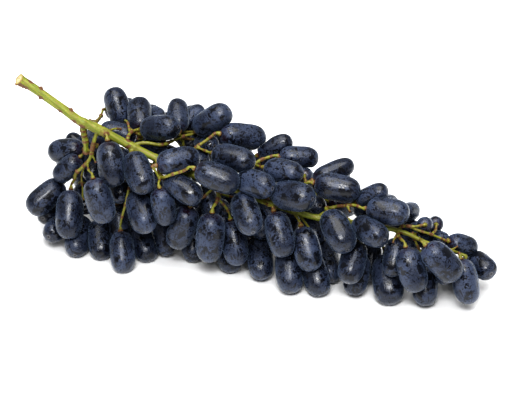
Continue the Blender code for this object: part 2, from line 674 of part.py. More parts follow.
def bend_clear(stems, ends, widths):
    """Bends the stems between the grapes. Those that show keep their place in the picture."""
    shares, radii = balls_of(ends, widths)
    balls, sizes = balls_at(ends, shares)[:, 1:].reshape(-1, 3), radii[:, 1:].ravel()
    starts = np.cumsum([0] + [len(stem.points) for stem in stems])
    points = np.concatenate([stem.points for stem in stems])
    half = np.concatenate([stem.half for stem in stems])
    moving, between, spans, necks, follows = [], [], [], [], []
    shows = np.zeros(len(points), bool)
    for k, stem in enumerate(stems[1:], 1):
        a, b = starts[k], starts[k + 1]
        carries = stem.grape is not None
        moving += range(a + 1, b - carries)
        between += range(a + 1, b - 1 - carries)
        spans.append((a, b - carries))
        if carries:
            necks.append(b - 2)
        follows.append((a, starts[stem.parent[0]] + stem.parent[1]))
        shows[a:b] = stem.shows
    moving, between = np.array(moving), np.array(between)
    home = points.copy()
    smooth = np.where(shows[between], 0.08, 0.3)[:, None]
    for step in range(BEND_STEPS):
        loose = step < BEND_STEPS * 0.7
        if step % 30 == 0:
            away = np.linalg.norm(points[moving][:, None] - balls, axis=-1) - sizes
            near = np.argsort(away, axis=1)[:, :14]
        straight = (points[between - 1] + points[between + 1]) / 2 - points[between]
        points[between] += smooth * (1.0 if loose else 0.15) * straight
        apart = points[moving][:, None] - balls[near]
        distance = np.linalg.norm(apart, axis=-1)
        deep = np.maximum(0, sizes[near] + half[moving][:, None] + TWIG_GAP - distance)
        push = (deep[..., None] * unit(apart)).sum(axis=1)
        ray = unit(EYE - points[moving])
        along = (push * ray).sum(-1)[:, None] * ray
        sideways = np.where(shows[moving], 0.3, 1.0)[:, None]
        drift = home[moving] - points[moving]
        drift -= (drift * ray).sum(-1)[:, None] * ray
        points[moving] += 0.6 * (along + (push - along) * sideways)
        if loose:
            points[moving] += 0.04 * shows[moving][:, None] * drift
            points[necks] += 0.1 * (home[necks] - points[necks])
        points[moving, 2] = np.maximum(points[moving, 2], half[moving] + 0.6 * MM)
        for a, root in follows:
            points[a] = points[root]
        if step % 20 == 0 and step < BEND_STEPS - 40:
            for a, b in spans:
                points[a:b] = evenly(points[a:b])
    for k, stem in enumerate(stems):
        stem.points = points[starts[k]:starts[k + 1]]


def laid_out():
    """Grapes (ends and widths), the spray of each, and the stems."""
    home, widths = seen_grapes()
    main = main_stem()
    stem = np.column_stack([main.points, main.half])
    seen = np.ones(len(home), bool)
    ends = settle(home, widths, seen, stem, [], home, 200)
    more, more_widths = hidden_grapes(ends.mean(axis=1), main.points)
    ends, home = np.concatenate([ends, more]), np.concatenate([home, more])
    widths = np.concatenate([widths, more_widths])
    seen = np.arange(len(ends)) < len(SEEN)
    ends = settle(ends, widths, seen, stem, [], home, 200)
    kept = [k for k in range(len(ends)) if seen[k] or out_of_sight(*ends[k], widths[k], 5)]
    ends, home, widths, seen = ends[kept], home[kept], widths[kept], seen[kept]
    held = sprays(ends, widths)
    ends = settle(ends, widths, seen, stem, held, home, 300)
    held = [pair for pair in held if gap_between(ends, widths, *pair) < -PRESSED_ENOUGH]
    ends = settle(ends, widths, seen, stem, held, home, 150)
    stems = [main]
    seen_stems(stems, ends)
    grown_stems(stems, ends, widths)
    bend_clear(stems, ends, widths)
    for stem in stems:
        stem.points = stem.points + CENTRE_SHIFT
    return ends + CENTRE_SHIFT, widths, grouped(len(ends), held), stems


def spray_members(ends, spray):
    """The grapes of each spray, the sprays in order along the bunch."""
    found = [[k for k in range(len(ends)) if spray[k] == head] for head in sorted(set(spray))]
    return sorted(found, key=lambda grapes: np.mean([ends[k].mean(axis=0)[0] for k in grapes]))


def frame_along(axis):
    """Two directions across an axis."""
    side = unit(np.cross(axis, (0, 0, 1) if abs(axis[2]) < 0.9 else (1, 0, 0)))
    return side, np.cross(axis, side)


def clear_scene():
    for obj in list(bpy.data.objects):
        bpy.data.objects.remove(obj, do_unlink=True)


def make_material(name, colour, roughness):
    material = bpy.data.materials.new(name)
    material.use_nodes = True
    shader = material.node_tree.nodes["Principled BSDF"]
    shader.inputs["Base Color"].default_value = (*colour, 1)
    shader.inputs["Roughness"].default_value = roughness
    shader.inputs["Metallic"].default_value = 0
    return material


def add_object(name, mesh, collection):
    obj = bpy.data.objects.new(name, mesh)
    collection.objects.link(obj)
    return obj


def ring_mesh(name, rings, poles):
    """A closed mesh through rings of points, root to end, closed by a point or a flat face each end."""
    mesh = bmesh.new()
    loops = [[mesh.verts.new(point) for point in ring] for ring in rings]
    for low, high in zip(loops[:-1], loops[1:]):
        for k in range(len(low)):
            mesh.faces.new((low[k - 1], low[k], high[k], high[k - 1]))
    if poles is None:
        mesh.faces.new(reversed(loops[0]))
        mesh.faces.new(loops[-1])
    else:
        start, end = (mesh.verts.new(point) for point in poles)
        for k in range(len(loops[0])):
            mesh.faces.new((start, loops[0][k], loops[0][k - 1]))
            mesh.faces.new((end, loops[-1][k - 1], loops[-1][k]))
    bmesh.ops.triangulate(mesh, faces=mesh.faces)
    data = bpy.data.meshes.new(name)
    mesh.to_mesh(data)
    mesh.free()
    return data


def grape_mesh(name, stem_end, blossom_end, width, sides):
    """A faceted grape, cut flat where it rests on the ground."""
    middle, half = (stem_end + blossom_end) / 2, (blossom_end - stem_end) / 2
    side, other = frame_along(unit(half))
    turns = np.arange(sides) * 2 * math.pi / sides
    rings = []
    for place in GRAPE_RINGS:
        reach = profile(place) * width / 2 * FACET_SWELL
        rings.append([middle + half * place + reach * (math.cos(turn) * side + math.sin(turn) * other)
                      for turn in turns])
    data = ring_mesh(name, rings, (stem_end, blossom_end))
    mesh = bmesh.new()
    mesh.from_mesh(data)
    if min(vert.co.z for vert in mesh.verts) < 0:
        cut = bmesh.ops.bisect_plane(
            mesh, geom=mesh.verts[:] + mesh.edges[:] + mesh.faces[:], dist=1e-7,
            plane_co=(0, 0, 0), plane_no=(0, 0, -1), clear_outer=True)
        edges = [item for item in cut["geom_cut"] if isinstance(item, bmesh.types.BMEdge)]
        bmesh.ops.holes_fill(mesh, edges=edges)
        bmesh.ops.triangulate(mesh, faces=mesh.faces)
        mesh.to_mesh(data)
    mesh.free()
    return data


def straightened(points, half, balls, sizes, forks):
    """Drops points that a straight way may skip: it stays near them and clear of the grapes.

    Points where a side stem grows from a thin stem stay.
    """
    shares = np.linspace(0, 1, 7)[:, None]
    kept = [0]
    while kept[-1] < len(points) - 1:
        a = points[kept[-1]]
        last = min([fork for fork in forks if fork > kept[-1]] + [len(points) - 1])
        for k in range(last, kept[-1], -1):
            skipped = points[kept[-1] + 1:k] - a
            way = unit(points[k] - a)
            off = np.linalg.norm(skipped - (skipped @ way)[:, None] * way, axis=1)
            if k == kept[-1] + 1:
                break
            chord = a + (points[k] - a) * shares
            thick = (half[kept[-1]] + (half[k] - half[kept[-1]]) * shares[:, 0])[:, None]
            free = (np.linalg.norm(chord[:, None] - balls, axis=-1) - sizes - thick).min()
            if off.max() < STRAIGHT_WITHIN and free > STRAIGHT_CLEAR:
                break
        kept.append(k)
    return points[kept], half[kept]


def stem_mesh(name, stem, carrier, sides, twist, balls, sizes, forks):
    """A tapered tube along a stem, widened where it carries a grape and turned by twist."""
    points, half = stem.points, stem.half * (TWIG_SWELL if sides == TWIG_SIDES else 1)
    if carrier is not None:
        half[0] = min(half[0], ROOT_SHARE * carrier.half[stem.parent[1]])
    if stem.grape is None:
        points, half = straightened(points, half, balls, sizes, forks)
    else:
        points, half = straightened(points[:-1], half[:-1], balls, sizes, forks)
        points, half = np.vstack([points, stem.points[-1]]), np.append(half, CAP_HALF)
    rings = []
    side = None
    for k, point in enumerate(points):
        way = unit(points[min(k + 1, len(points) - 1)] - points[max(k - 1, 0)])
        if k == len(points) - 1:
            way = unit(points[-1] - points[-2])
        if side is None:
            side, _ = frame_along(way)
        side = unit(side - way * (side @ way))
        other = np.cross(way, side)
        turns = twist + np.arange(sides) * 2 * math.pi / sides
        rings.append([point + half[k] * (math.cos(turn) * side + math.sin(turn) * other)
                      for turn in turns])
    if carrier is None:
        way, facing = unit(points[1] - points[0]), cut_facing(stem)
        rings[0] = [spot - way * ((spot - points[0]) @ facing) / (way @ facing) for spot in rings[0]]
    return ring_mesh(name, rings, None)


def fused(name, meshes, material):
    """One object from meshes that meet, joined by a single union."""
    keep = bpy.context.scene.collection
    others = bpy.data.collections.new(name + "_pieces")
    keep.children.link(others)
    obj = add_object(name, meshes[0], keep)
    for k, mesh in enumerate(meshes[1:]):
        add_object(f"{name}_piece_{k}", mesh, others)
    if len(meshes) > 1:
        union = obj.modifiers.new("union", "BOOLEAN")
        union.operation = "UNION"
        union.operand_type = "COLLECTION"
        union.collection = others
        union.solver = "MANIFOLD"
        bpy.context.view_layer.update()
        graph = bpy.context.evaluated_depsgraph_get()
        joined = bpy.data.meshes.new_from_object(obj.evaluated_get(graph), depsgraph=graph)
        obj.modifiers.clear()
        obj.data = joined
    for piece in list(others.objects):
        bpy.data.objects.remove(piece, do_unlink=True)
    bpy.data.collections.remove(others)
    obj.data.materials.clear()
    obj.data.materials.append(material)
    obj.data.shade_smooth()
    obj.data.set_sharp_from_angle(angle=math.radians(50))
    return obj


def grape_sides(grape):
    if grape < OUTER_COUNT:
        return GRAPE_SIDES
    return DEEP_GRAPE_SIDES if grape < len(SEEN) else HIDDEN_GRAPE_SIDES


def build_grapes(ends, widths, spray):
    skin = make_material("grape_skin", (0.016, 0.020, 0.038), 0.42)
    for number, grapes in enumerate(spray_members(ends, spray), 1):
        meshes = []
        for k in grapes:
            meshes.append(grape_mesh(f"grape_{k}", *ends[k], widths[k], grape_sides(k)))
        fused(f"grapes_{number:02d}", meshes, skin)


def build_stalk(stems, ends, widths):
    bark = make_material("stalk_green", (0.30, 0.36, 0.07), 0.55)
    shares, radii = balls_of(ends, widths)
    balls, sizes = balls_at(ends, shares)[:, 1:].reshape(-1, 3), radii[:, 1:].ravel()
    meshes = []
    for k, stem in enumerate(stems):
        sides = RACHIS_SIDES if k == 0 else TWIG_SIDES
        carrier = stems[stem.parent[0]] if k else None
        roots = [other.parent[1] for other in stems[1:] if other.parent[0] == k]
        forks = [root for root in roots if stem.half[root] < THIN_HALF]
        meshes.append(stem_mesh(f"stem_{k}", stem, carrier, sides, k * TWIST, balls, sizes, forks))
    fused("stalk", meshes, bark)


def main():
    clear_scene()
    ends, widths, spray, stems = laid_out()
    build_grapes(ends, widths, spray)
    build_stalk(stems, ends, widths)


main()
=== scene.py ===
"""The looks of a bunch of long dark seedless grapes on its green stalk.

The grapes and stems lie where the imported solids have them: the layout below is the one that
the solids come from, so each spray of grapes here replaces its own node. The grapes get their
true outline, dimples, ridges and flat contacts, and the stalk its bark, joints and cut end.
"""

import json
import math

import bpy
import numpy as np
from mathutils import Matrix
from mathutils.kdtree import KDTree

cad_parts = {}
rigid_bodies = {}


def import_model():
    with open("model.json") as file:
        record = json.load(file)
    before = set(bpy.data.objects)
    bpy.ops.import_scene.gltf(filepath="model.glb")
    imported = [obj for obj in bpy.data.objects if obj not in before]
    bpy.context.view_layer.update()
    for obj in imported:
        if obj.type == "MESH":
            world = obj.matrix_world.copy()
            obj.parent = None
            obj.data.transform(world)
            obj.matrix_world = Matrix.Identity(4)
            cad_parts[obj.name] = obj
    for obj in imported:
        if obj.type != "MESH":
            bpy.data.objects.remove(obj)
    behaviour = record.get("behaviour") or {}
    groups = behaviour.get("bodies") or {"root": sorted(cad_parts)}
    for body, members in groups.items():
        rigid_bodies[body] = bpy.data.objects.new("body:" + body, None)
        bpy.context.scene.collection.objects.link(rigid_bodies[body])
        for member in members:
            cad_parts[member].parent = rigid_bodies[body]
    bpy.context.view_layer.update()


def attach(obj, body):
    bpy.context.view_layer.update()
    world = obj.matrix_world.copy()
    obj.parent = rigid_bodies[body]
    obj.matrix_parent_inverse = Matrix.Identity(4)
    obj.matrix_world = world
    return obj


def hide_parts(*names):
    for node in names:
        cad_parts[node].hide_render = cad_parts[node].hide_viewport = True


MM = 0.001

# Driving dimensions
LONG_TO_WIDE = 1.66
GAP = 0.85 * MM
PRESSED = 1.35 * MM
PRESSED_ENOUGH = 0.85 * MM
SUNK = 0.6 * MM
CAP_GAP = 0.3 * MM
CAP_LENGTH = 3.2 * MM
PEDICEL_HALF = 0.75 * MM

# Grapes that the photo can't show: how many, where, how deep under the body's surface, which way
# they point, and by how many pixels the grapes in front have to cover them, before and after settling
HIDDEN_COUNT = 41
HIDDEN_SEED = 11
HIDDEN_TRIES = 9000
HIDDEN_WIDTHS = (14.2 * MM, 16.6 * MM)
HIDDEN_SPACING = 16 * MM
HIDDEN_FROM_TO = (-0.140, 0.155)
DEEPEST_MM = 14
BEHIND_FRONT = 20 * MM
OUTWARD = 0.9
LEAN = np.array([0.45, 0, -0.35])
WOBBLE = 0.22
FLATTER = np.array([1, 1, 0.25])
COVERED_BY = 3
STILL_COVERED_BY = 5

# The line of sight: a picture of the bunch with 0.60 mm to a pixel at one metre
PIXEL = 0.60 * MM
EYE_DISTANCE = 1.00
EYE_AZIMUTH = math.radians(19)
EYE_ELEVATION = math.radians(31)
PICTURE_MIDDLE = (256, 205)
AIM_POINT = np.array([0.0, 0.0, 40 * MM])

# The body of the bunch, a flattened round section that changes along X
STATION_X = np.array([-150, -128, -100, -60, -15, 30, 70, 105, 132, 160]) * MM
HALF_WIDTH = np.array([18, 38, 49, 50, 47, 42, 36, 28, 21, 12]) * MM
HEIGHT = np.array([36, 64, 86, 91, 84, 76, 66, 52, 37, 19]) * MM
MIDDLE_Y = np.array([12, 12, 13, 12, 12, 12, 11, 8, 5, 2]) * MM
HALF_GRAPE = 8 * MM
SQUARENESS = 2.3
LAYER_DEPTH = 13 * MM

# Brings the middle of the bunch's box to the origin
CENTRE_SHIFT = np.array([-1.2, -8.0, 0.0]) * MM

# Settling: a grape is a row of balls, a spray a few grapes that are pressed together. One step moves
# a grape by its pushes over SHARED_PUSH times their number. One that shows takes the SIDEWAYS share
# of what would move it across the line of sight, and the HOMING share of its way back.
BALLS = 6
STEM_ROOM = 2.2 * MM
STEM_REACH = 1.7 * MM
REACH_OF_PAIRS = 42 * MM
MOST_IN_SPRAY = 7
SMALL_SPRAY = 2
TOUCHING = 4 * MM
PROFILE_POWERS = (3.4, 2.15)
END_BALL = 0.43
SIDEWAYS = 0.1
PRESSED_SLACK = 0.02 * MM
SHARED_PUSH = 0.55
HOMING = 0.02
PARTING_STEPS = 200
PRESSING_STEPS = 300
LAST_STEPS = 150

# Stems: those that don't show cost their length, and more where they cross grapes
TWIG_STEP = 2.4 * MM
TWIG_GAP = 1.1 * MM
BARE_UP_TO = 96
GROWN_HALF = 0.95 * MM
SHORTEST_GROWN = 4 * MM
LEAD = 3 * MM
ROOTS_TRIED = 6
ROOTS_UP_TO = 0.6
CROSSING_COST = 1.5
STEM_CLEAR = 0.6 * MM

# Bending the stems clear: steps, and shares of each move that one step makes
BEND_STEPS = 300
LOOSE_STEPS = 0.7
BALLS_NEAR = 14
NEAR_EVERY = 30
EVEN_EVERY = 20
EVEN_UNTIL = BEND_STEPS - 40
SMOOTH_SHOWN = 0.08
SMOOTH_HIDDEN = 0.3
SMOOTH_AT_END = 0.15
PUSH_RATE = 0.6
SHOWN_SIDEWAYS = 0.3
HOME_RATE = 0.04
NECK_RATE = 0.1

# Grapes that show: name, stem end x and y, blossom end x and y and width in pixels, layer
# (0 outermost), and 1 where the blossom end is the nearer one or -1 where it is the farther
SEEN = [
    # left shoulder, top and far side
    ("A1", 124, 127, 111.5, 87.5, 25, 0.0, -1),
    ("A2", 142, 130, 139, 97, 24, 0.5, -1),
    ("A3", 140, 130, 181, 128, 26, 0.0, 1),
    ("A4", 83, 147, 43.5, 151, 24.5, 0.0, 1),
    ("A5", 80, 157, 55, 180, 21, 0.9, 1),
    ("A6", 96, 152, 87, 131, 21, 1.0, -1),
    ("A7", 86, 152, 72, 138, 18, 1.4, -1),
    ("A8", 106, 141, 112, 187, 27, 0.0, 1),
    ("A9", 134, 153, 148, 193, 28, 0.0, 1),
    ("A10", 133, 140, 104, 128, 22, 1.0, -1),
    # left shoulder, near side
    ("B1", 63, 182.5, 29, 211.5, 26, 0.0, 1),
    ("B2", 71, 190, 68, 239, 27, 0.0, 1),
    ("B3", 92, 179, 106, 224, 28, 0.0, 1),
    ("B4", 66, 218, 46, 239, 22, 1.0, 1),
    ("B5", 60, 205, 40, 220, 20, 1.3, 1),
    ("B6", 82, 214, 74, 260, 25, 1.0, 1),
    ("B7", 99, 219, 102, 262, 24, 1.0, 1),
    ("B8", 121, 233, 124, 275, 25, 0.0, 1),
    ("B9", 133, 191, 146, 235, 28, 0.0, 1),
    ("B10", 136, 226, 150, 264, 25, 0.8, 1),
    ("B11", 117, 205, 121, 246, 22, 1.2, 1),
    ("B12", 117, 168, 121, 204, 22, 1.0, 1),
    # middle, top and far side
    ("C1", 158, 136, 157, 106, 20, 1.2, -1),
    ("C2", 178, 130, 177, 99, 22, 0.6, -1),
    ("C3", 184, 126, 204, 106, 19, 0.6, -1),
    ("C4", 193, 131, 228.5, 106, 26.5, 0.0, -1),
    ("C5", 219, 135, 268, 138, 26, 0.0, 1),
    ("C6", 156, 159, 200, 152, 27, 0.0, 1),
    ("C7", 210, 152, 256, 162, 27, 0.0, 1),
    ("C8", 196, 169, 238, 185, 28, 0.0, 1),
    ("C9", 238, 178, 273, 188, 27, 0.0, 1),
    # middle, near side
    ("C10", 166, 180, 203, 202, 25, 0.0, 1),
    ("C11", 158, 189, 167, 226, 24, 0.5, 1),
    ("C12", 163, 212, 170, 255, 22, 1.1, 1),
    ("C13", 191, 207, 174, 252, 28, 0.0, 1),
    ("C14", 190, 222, 194, 262, 22, 1.1, 1),
    ("C15", 212, 212, 208, 263, 29, 0.0, 1),
    ("C16", 231, 221, 239, 266, 26, 0.5, 1),
    ("C17", 225, 235, 232, 273, 24, 1.1, 1),
    ("C18", 238, 193, 254, 239, 28, 0.0, 1),
    ("C19", 258, 236, 262, 282, 25, 0.7, 1),
    # right of the middle, top and far side
    ("E1", 260, 158, 293, 139.5, 20, 0.7, -1),
    ("E2", 279, 155.5, 319, 157, 23, 0.3, 1),
    ("E3", 262, 167, 304, 175, 25, 0.0, 1),
    ("E4", 298, 184, 310, 170, 19, 1.4, -1),
    ("E5", 313, 180, 354, 163, 21, 0.4, -1),
    ("E6", 313, 183, 359, 192, 27, 0.0, 1),
    ("E7", 273, 194, 319, 201, 30, 0.0, 1),
    ("E8", 301, 210, 326, 204, 23, 0.9, 1),
    ("E9", 357, 202, 389, 188, 20, 0.5, -1),
    ("E10", 368, 207, 410, 214, 27, 0.0, 1),
    # right of the middle, near side
    ("E11", 354, 221, 390, 242, 27, 0.0, 1),
    ("E12", 327, 213, 344, 252, 30, 0.0, 1),
    ("E13", 274, 212, 286, 257, 28, 0.0, 1),
    ("E14", 285, 249, 289, 294, 27, 0.3, 1),
    ("E15", 301, 227, 313, 271, 27, 0.0, 1),
    ("E16", 312, 252, 323, 296, 26, 0.4, 1),
    ("E17", 324, 240, 334, 287, 24, 0.7, 1),
    ("E18", 358, 240, 347, 284, 26, 0.4, 1),
    ("E19", 362, 254, 354, 295, 25, 0.5, 1),
    ("E20", 371, 252, 368, 292, 21, 1.0, 1),
    # tip
    ("G1", 383, 254, 389.5, 306, 31, 0.0, 1),
    ("G2", 406, 248, 418, 292, 28, 0.0, 1),
    ("G3", 424, 262, 425, 306, 26, 0.8, 1),
    ("G4", 425, 245, 459, 279, 29, 0.0, 1),
    ("G5", 461, 259, 470, 304, 27, 0.2, 1),
    ("G6", 470, 257, 496, 279, 24, 0.0, 1),
    ("G7", 447, 240, 481, 248, 21, 0.2, 1),
    ("G8", 424, 240, 446, 240, 20, 1.3, 1),
    ("G9", 418, 226, 434, 221, 17, 0.7, -1),
    ("G10", 428, 226, 440, 221, 17, 1.2, -1),
    ("G11", 398, 215, 419, 208.5, 19, 0.8, -1),
    ("G12", 380, 206, 397, 199, 16, 1.0, -1),
    ("G13", 397, 238, 391, 277, 22, 1.0, 1),
    ("G15", 440, 256, 446, 284, 20, 0.9, 1),
    # dark ones deep between the others
    ("F1", 122, 150, 126, 182, 22, 1.5, 1),
    ("F2", 92, 151, 96, 184, 21, 2.3, 1),
    ("F3", 152, 172, 160, 200, 20, 1.7, 1),
    ("F4", 180, 170, 186, 206, 22, 1.7, 1),
    ("F6", 262, 190, 276, 214, 20, 1.9, 1),
    ("F7", 306, 212, 318, 244, 22, 2.2, 1),
    ("F8", 352, 202, 372, 214, 22, 1.6, 1),
    ("F9", 372, 240, 368, 282, 22, 1.5, 1),
    ("F10", 402, 234, 410, 262, 20, 1.5, 1),
    ("F11", 205, 205, 196, 240, 22, 1.7, 1),
    ("F12", 261, 206, 263, 240, 21, 1.8, 1),
    ("F13", 140, 151, 166, 143, 20, 1.6, 1),
    ("F14", 203, 188, 214, 216, 21, 2.1, 1),
    ("F15", 221, 198, 224, 232, 21, 2.1, 1),
    ("F16", 196, 138, 218, 147, 19, 1.7, 1),
    ("F17", 80, 185, 87, 214, 20, 2.2, 1),
    ("F18", 397, 221, 424, 232, 17, 1.3, 1),
    ("F19", 184, 157, 208, 163, 20, 2.6, 1),
    ("F20", 177, 143, 192, 131, 18, 2.0, -1),
    ("F21", 412, 236, 427, 246, 15, 1.5, 1),
]
NUMBER = {row[0]: number for number, row in enumerate(SEEN)}

# Main stem: x and y in pixels, depth under the outer grapes in mm (None on the bare end,
# which rises towards the eye), half width in mm
RACHIS = [
    (19, 79, None, 3.5), (22.5, 81, None, 2.85), (34.6, 88.6, None, 2.65), (50, 99.5, None, 2.6),
    (65.5, 110.5, None, 2.6), (80, 121, None, 2.75), (95.5, 127.9, None, 2.75),
    (110.4, 135.4, None, 2.6), (130.3, 145.6, 4, 2.4), (156, 158, 13, 2.3), (200, 177, 17, 2.2),
    (240, 191, 14, 2.1), (270, 203, 11, 2.0),
    (310, 216, 13, 1.8), (350, 222, 12, 1.6), (387, 228, 9, 1.4), (408, 234, 6, 1.25),
    (423, 241, 6, 1.15), (450, 250, 6, 1.0), (466, 256, 5, 0.9)]
BARE_RISE = 16 * MM
BARE_FROM = 130
BARE_LENGTH = 111
CUT_SLANT = 0.45

# Side stems that show: points in pixels, half widths at root and end in mm, and either the
# grape at the end or the end's depth under the outer grapes in mm
TWIGS = [
    ([(84, 123), (83, 131), (86, 140), (89, 149)], 1.9, 1.5, 9),
    ([(97, 130), (95, 137), (93, 145), (92, 152), (91, 160), (85, 165), (77, 172)], 1.25, 1.0, 2),
    ([(92, 149), (88, 148)], 0.75, 0.7, "A4"),
    ([(77, 172), (69, 174)], 0.85, 0.75, "B1"),
    ([(77, 172), (75, 179)], 0.85, 0.75, "B2"),
    ([(87, 164), (89, 172)], 0.8, 0.7, "B3"),
    ([(86, 165), (81, 177), (83, 188)], 0.75, 0.75, "B6"),
    ([(93, 155), (96, 163)], 0.7, 0.6, 3),
    ([(103, 132)], 1.0, 0.9, "A8"),
    ([(97, 127), (96, 122), (99, 119), (101, 116)], 1.0, 0.8, -2),
    ([(96, 121), (90, 121)], 0.8, 0.8, -1),
    ([(108, 132), (114, 128), (121, 129)], 0.75, 0.6, 1),
    ([(126, 142), (128, 134), (131, 131)], 1.2, 1.0, "A3"),
    ([(130, 132), (128, 127)], 0.8, 0.75, "A1"),
    ([(132, 144), (141, 142), (155, 143), (166, 142), (176, 140), (184, 135)], 1.35, 1.0, "C4"),
    ([(183, 136)], 0.8, 0.75, "C3"),
    ([(128, 146)], 1.0, 0.8, "A9"),
    ([(182, 168), (190, 153), (197, 146), (206, 141)], 1.2, 1.0, "C5"),
    ([(197, 147), (203, 150)], 0.9, 0.8, "C7"),
    ([(156, 160), (159, 171), (172, 172), (182, 172), (189, 169)], 1.3, 0.9, "C8"),
    ([(159, 173)], 0.9, 0.8, "C10"),
    ([(214, 182), (218, 190), (219, 200)], 1.2, 1.0, "C15"),
    ([(215, 186), (209, 192), (202, 199)], 1.0, 0.9, "C13"),
    ([(219, 198), (225, 205), (229, 212)], 0.9, 0.85, "C16"),
    ([(225, 186), (229, 191)], 0.9, 0.85, "C18"),
    ([(262, 199), (268, 206)], 1.0, 0.9, "E13"),
    ([(294, 211), (297, 219)], 1.0, 0.9, "E15"),
    ([(298, 213), (304, 221), (311, 230)], 1.0, 0.8, "E16"),
    ([(318, 217), (325, 212), (330, 209), (335, 205), (343, 206), (350, 205), (358, 204)],
     1.2, 0.9, "E10"),
    ([(331, 209), (338, 212), (345, 217)], 0.9, 0.8, "E11"),
    ([(346, 206), (350, 212)], 0.7, 0.6, 2),
    ([(298, 212), (297, 196), (302, 185)], 1.2, 1.0, "E6"),
    ([(302, 186), (307, 180)], 0.8, 0.75, "E5"),
    ([(246, 193), (248, 175), (253, 164), (262, 159)], 1.2, 1.0, "E2"),
    ([(253, 166)], 0.9, 0.8, "E3"),
    ([(396, 229), (402, 223), (408, 227)], 1.0, 0.8, "G9"),
    ([(407, 228), (415, 230), (423, 231), (435, 236)], 0.95, 0.8, "G7"),
    ([(396, 231), (399, 238)], 0.9, 0.8, "G2"),
    ([(398, 236), (391, 238), (393, 243)], 0.7, 0.6, 3),
    ([(412, 235), (415, 240), (418, 248)], 0.8, 0.7, "G3"),
    ([(375, 226), (380, 236), (382, 246)], 1.0, 0.9, "G1"),
    ([(419, 239)], 0.9, 0.85, "G4"),
    ([(135, 148), (128, 190), (124, 210), (121, 219)], 1.3, 0.8, "B8"),
    ([(131, 172), (132, 181)], 0.9, 0.8, "B9"),
    ([(450, 250), (454, 249), (458, 246)], 0.7, 0.6, 2),
    ([(466, 256)], 0.85, 0.8, "G6"),
    ([(455, 252)], 0.85, 0.8, "G5"),
]

RIGHT = np.array([math.cos(EYE_AZIMUTH), math.sin(EYE_AZIMUTH), 0.0])
BACK = np.array([
    math.sin(EYE_AZIMUTH) * math.cos(EYE_ELEVATION),
    -math.cos(EYE_AZIMUTH) * math.cos(EYE_ELEVATION),
    math.sin(EYE_ELEVATION)])
UP = np.cross(BACK, RIGHT)
EYE = AIM_POINT + BACK * EYE_DISTANCE

# Depths tried along a line of sight, and where and how steeply the body ends along X
DEPTHS = np.arange(0.13, -0.13, -0.0015)
ENVELOPE_ENDS = 0.165
PAST_ENDS = 100


def unit(vector):
    return vector / np.maximum(np.linalg.norm(vector, axis=-1, keepdims=True), 1e-12)


def pixel_at(near):
    """How many metres one pixel spans, near metres in front of the plane through AIM_POINT."""
    return (EYE_DISTANCE - near) / EYE_DISTANCE * PIXEL


def seen_at(x, y, near):
    """The point behind pixel x, y that lies near metres in front of the plane through AIM_POINT."""
    spread = pixel_at(near)
    return (AIM_POINT + np.multiply.outer(near, BACK)
            + np.multiply.outer((x - PICTURE_MIDDLE[0]) * spread, RIGHT)
            + np.multiply.outer((PICTURE_MIDDLE[1] - y) * spread, UP))


def picture_of(point):
    """Pixel x, y and nearness of a point."""
    away = point - AIM_POINT
    near = away @ BACK
    spread = pixel_at(near)
    return PICTURE_MIDDLE[0] + away @ RIGHT / spread, PICTURE_MIDDLE[1] - away @ UP / spread, near


def body_at(x):
    """Half width, half height and middle in Y of the body that holds the grapes' middles."""
    width = np.interp(x, STATION_X, HALF_WIDTH) - HALF_GRAPE
    height = np.interp(x, STATION_X, HEIGHT) / 2 - HALF_GRAPE
    return width, height, np.interp(x, STATION_X, MIDDLE_Y)


def surface_depth(x, y):
    """How near the body comes behind a pixel, or comes closest to it."""
    points = seen_at(x, y, DEPTHS)
    width, height, middle = body_at(points[:, 0])
    rise = points[:, 2] - height - HALF_GRAPE
    value = (np.abs((points[:, 1] - middle) / width) ** SQUARENESS + np.abs(rise / height) ** SQUARENESS
             + np.maximum(0, np.abs(points[:, 0]) - ENVELOPE_ENDS) * PAST_ENDS)
    inside = np.nonzero(value < 1)[0]
    return DEPTHS[inside[0] if len(inside) else np.argmin(value)]


def seen_grapes():
    """Stem and blossom ends, and widths, of the grapes that show, tilted to their real length."""
    ends, widths = [], []
    for _, sx, sy, tx, ty, width, layer, sign in SEEN:
        length = math.hypot(tx - sx, ty - sy)
        mx, my = (sx + tx) / 2, (sy + ty) / 2
        near = surface_depth(mx, my) - layer * LAYER_DEPTH
        scale = pixel_at(near)
        wide, shown = width * scale, length * scale
        real = max(LONG_TO_WIDE * wide, shown)
        share = max(0.0, (shown ** 2 - wide ** 2) / (real ** 2 - wide ** 2))
        tilt = math.acos(min(1.0, math.sqrt(share)))
        push = math.sin(tilt) * real / 2 * sign
        grow = math.cos(tilt) * real / shown
        ends.append([
            seen_at(mx + (sx - mx) * grow, my + (sy - my) * grow, near - push),
            seen_at(mx + (tx - mx) * grow, my + (ty - my) * grow, near + push)])
        widths.append(wide)
    return np.array(ends), np.array(widths)


def behind_seen(x, y, grow):
    """Whether a grape that shows covers a pixel, its outline grown by some pixels."""
    for _, sx, sy, tx, ty, width, _, _ in SEEN:
        length = math.hypot(tx - sx, ty - sy)
        ux, uy = (tx - sx) / length, (ty - sy) / length
        dx, dy = x - (sx + tx) / 2, y - (sy + ty) / 2
        along = (dx * ux + dy * uy) / (length / 2 + grow)
        across = (dy * ux - dx * uy) / (width / 2 + grow)
        if along ** 2 + across ** 2 < 1:
            return True
    return False


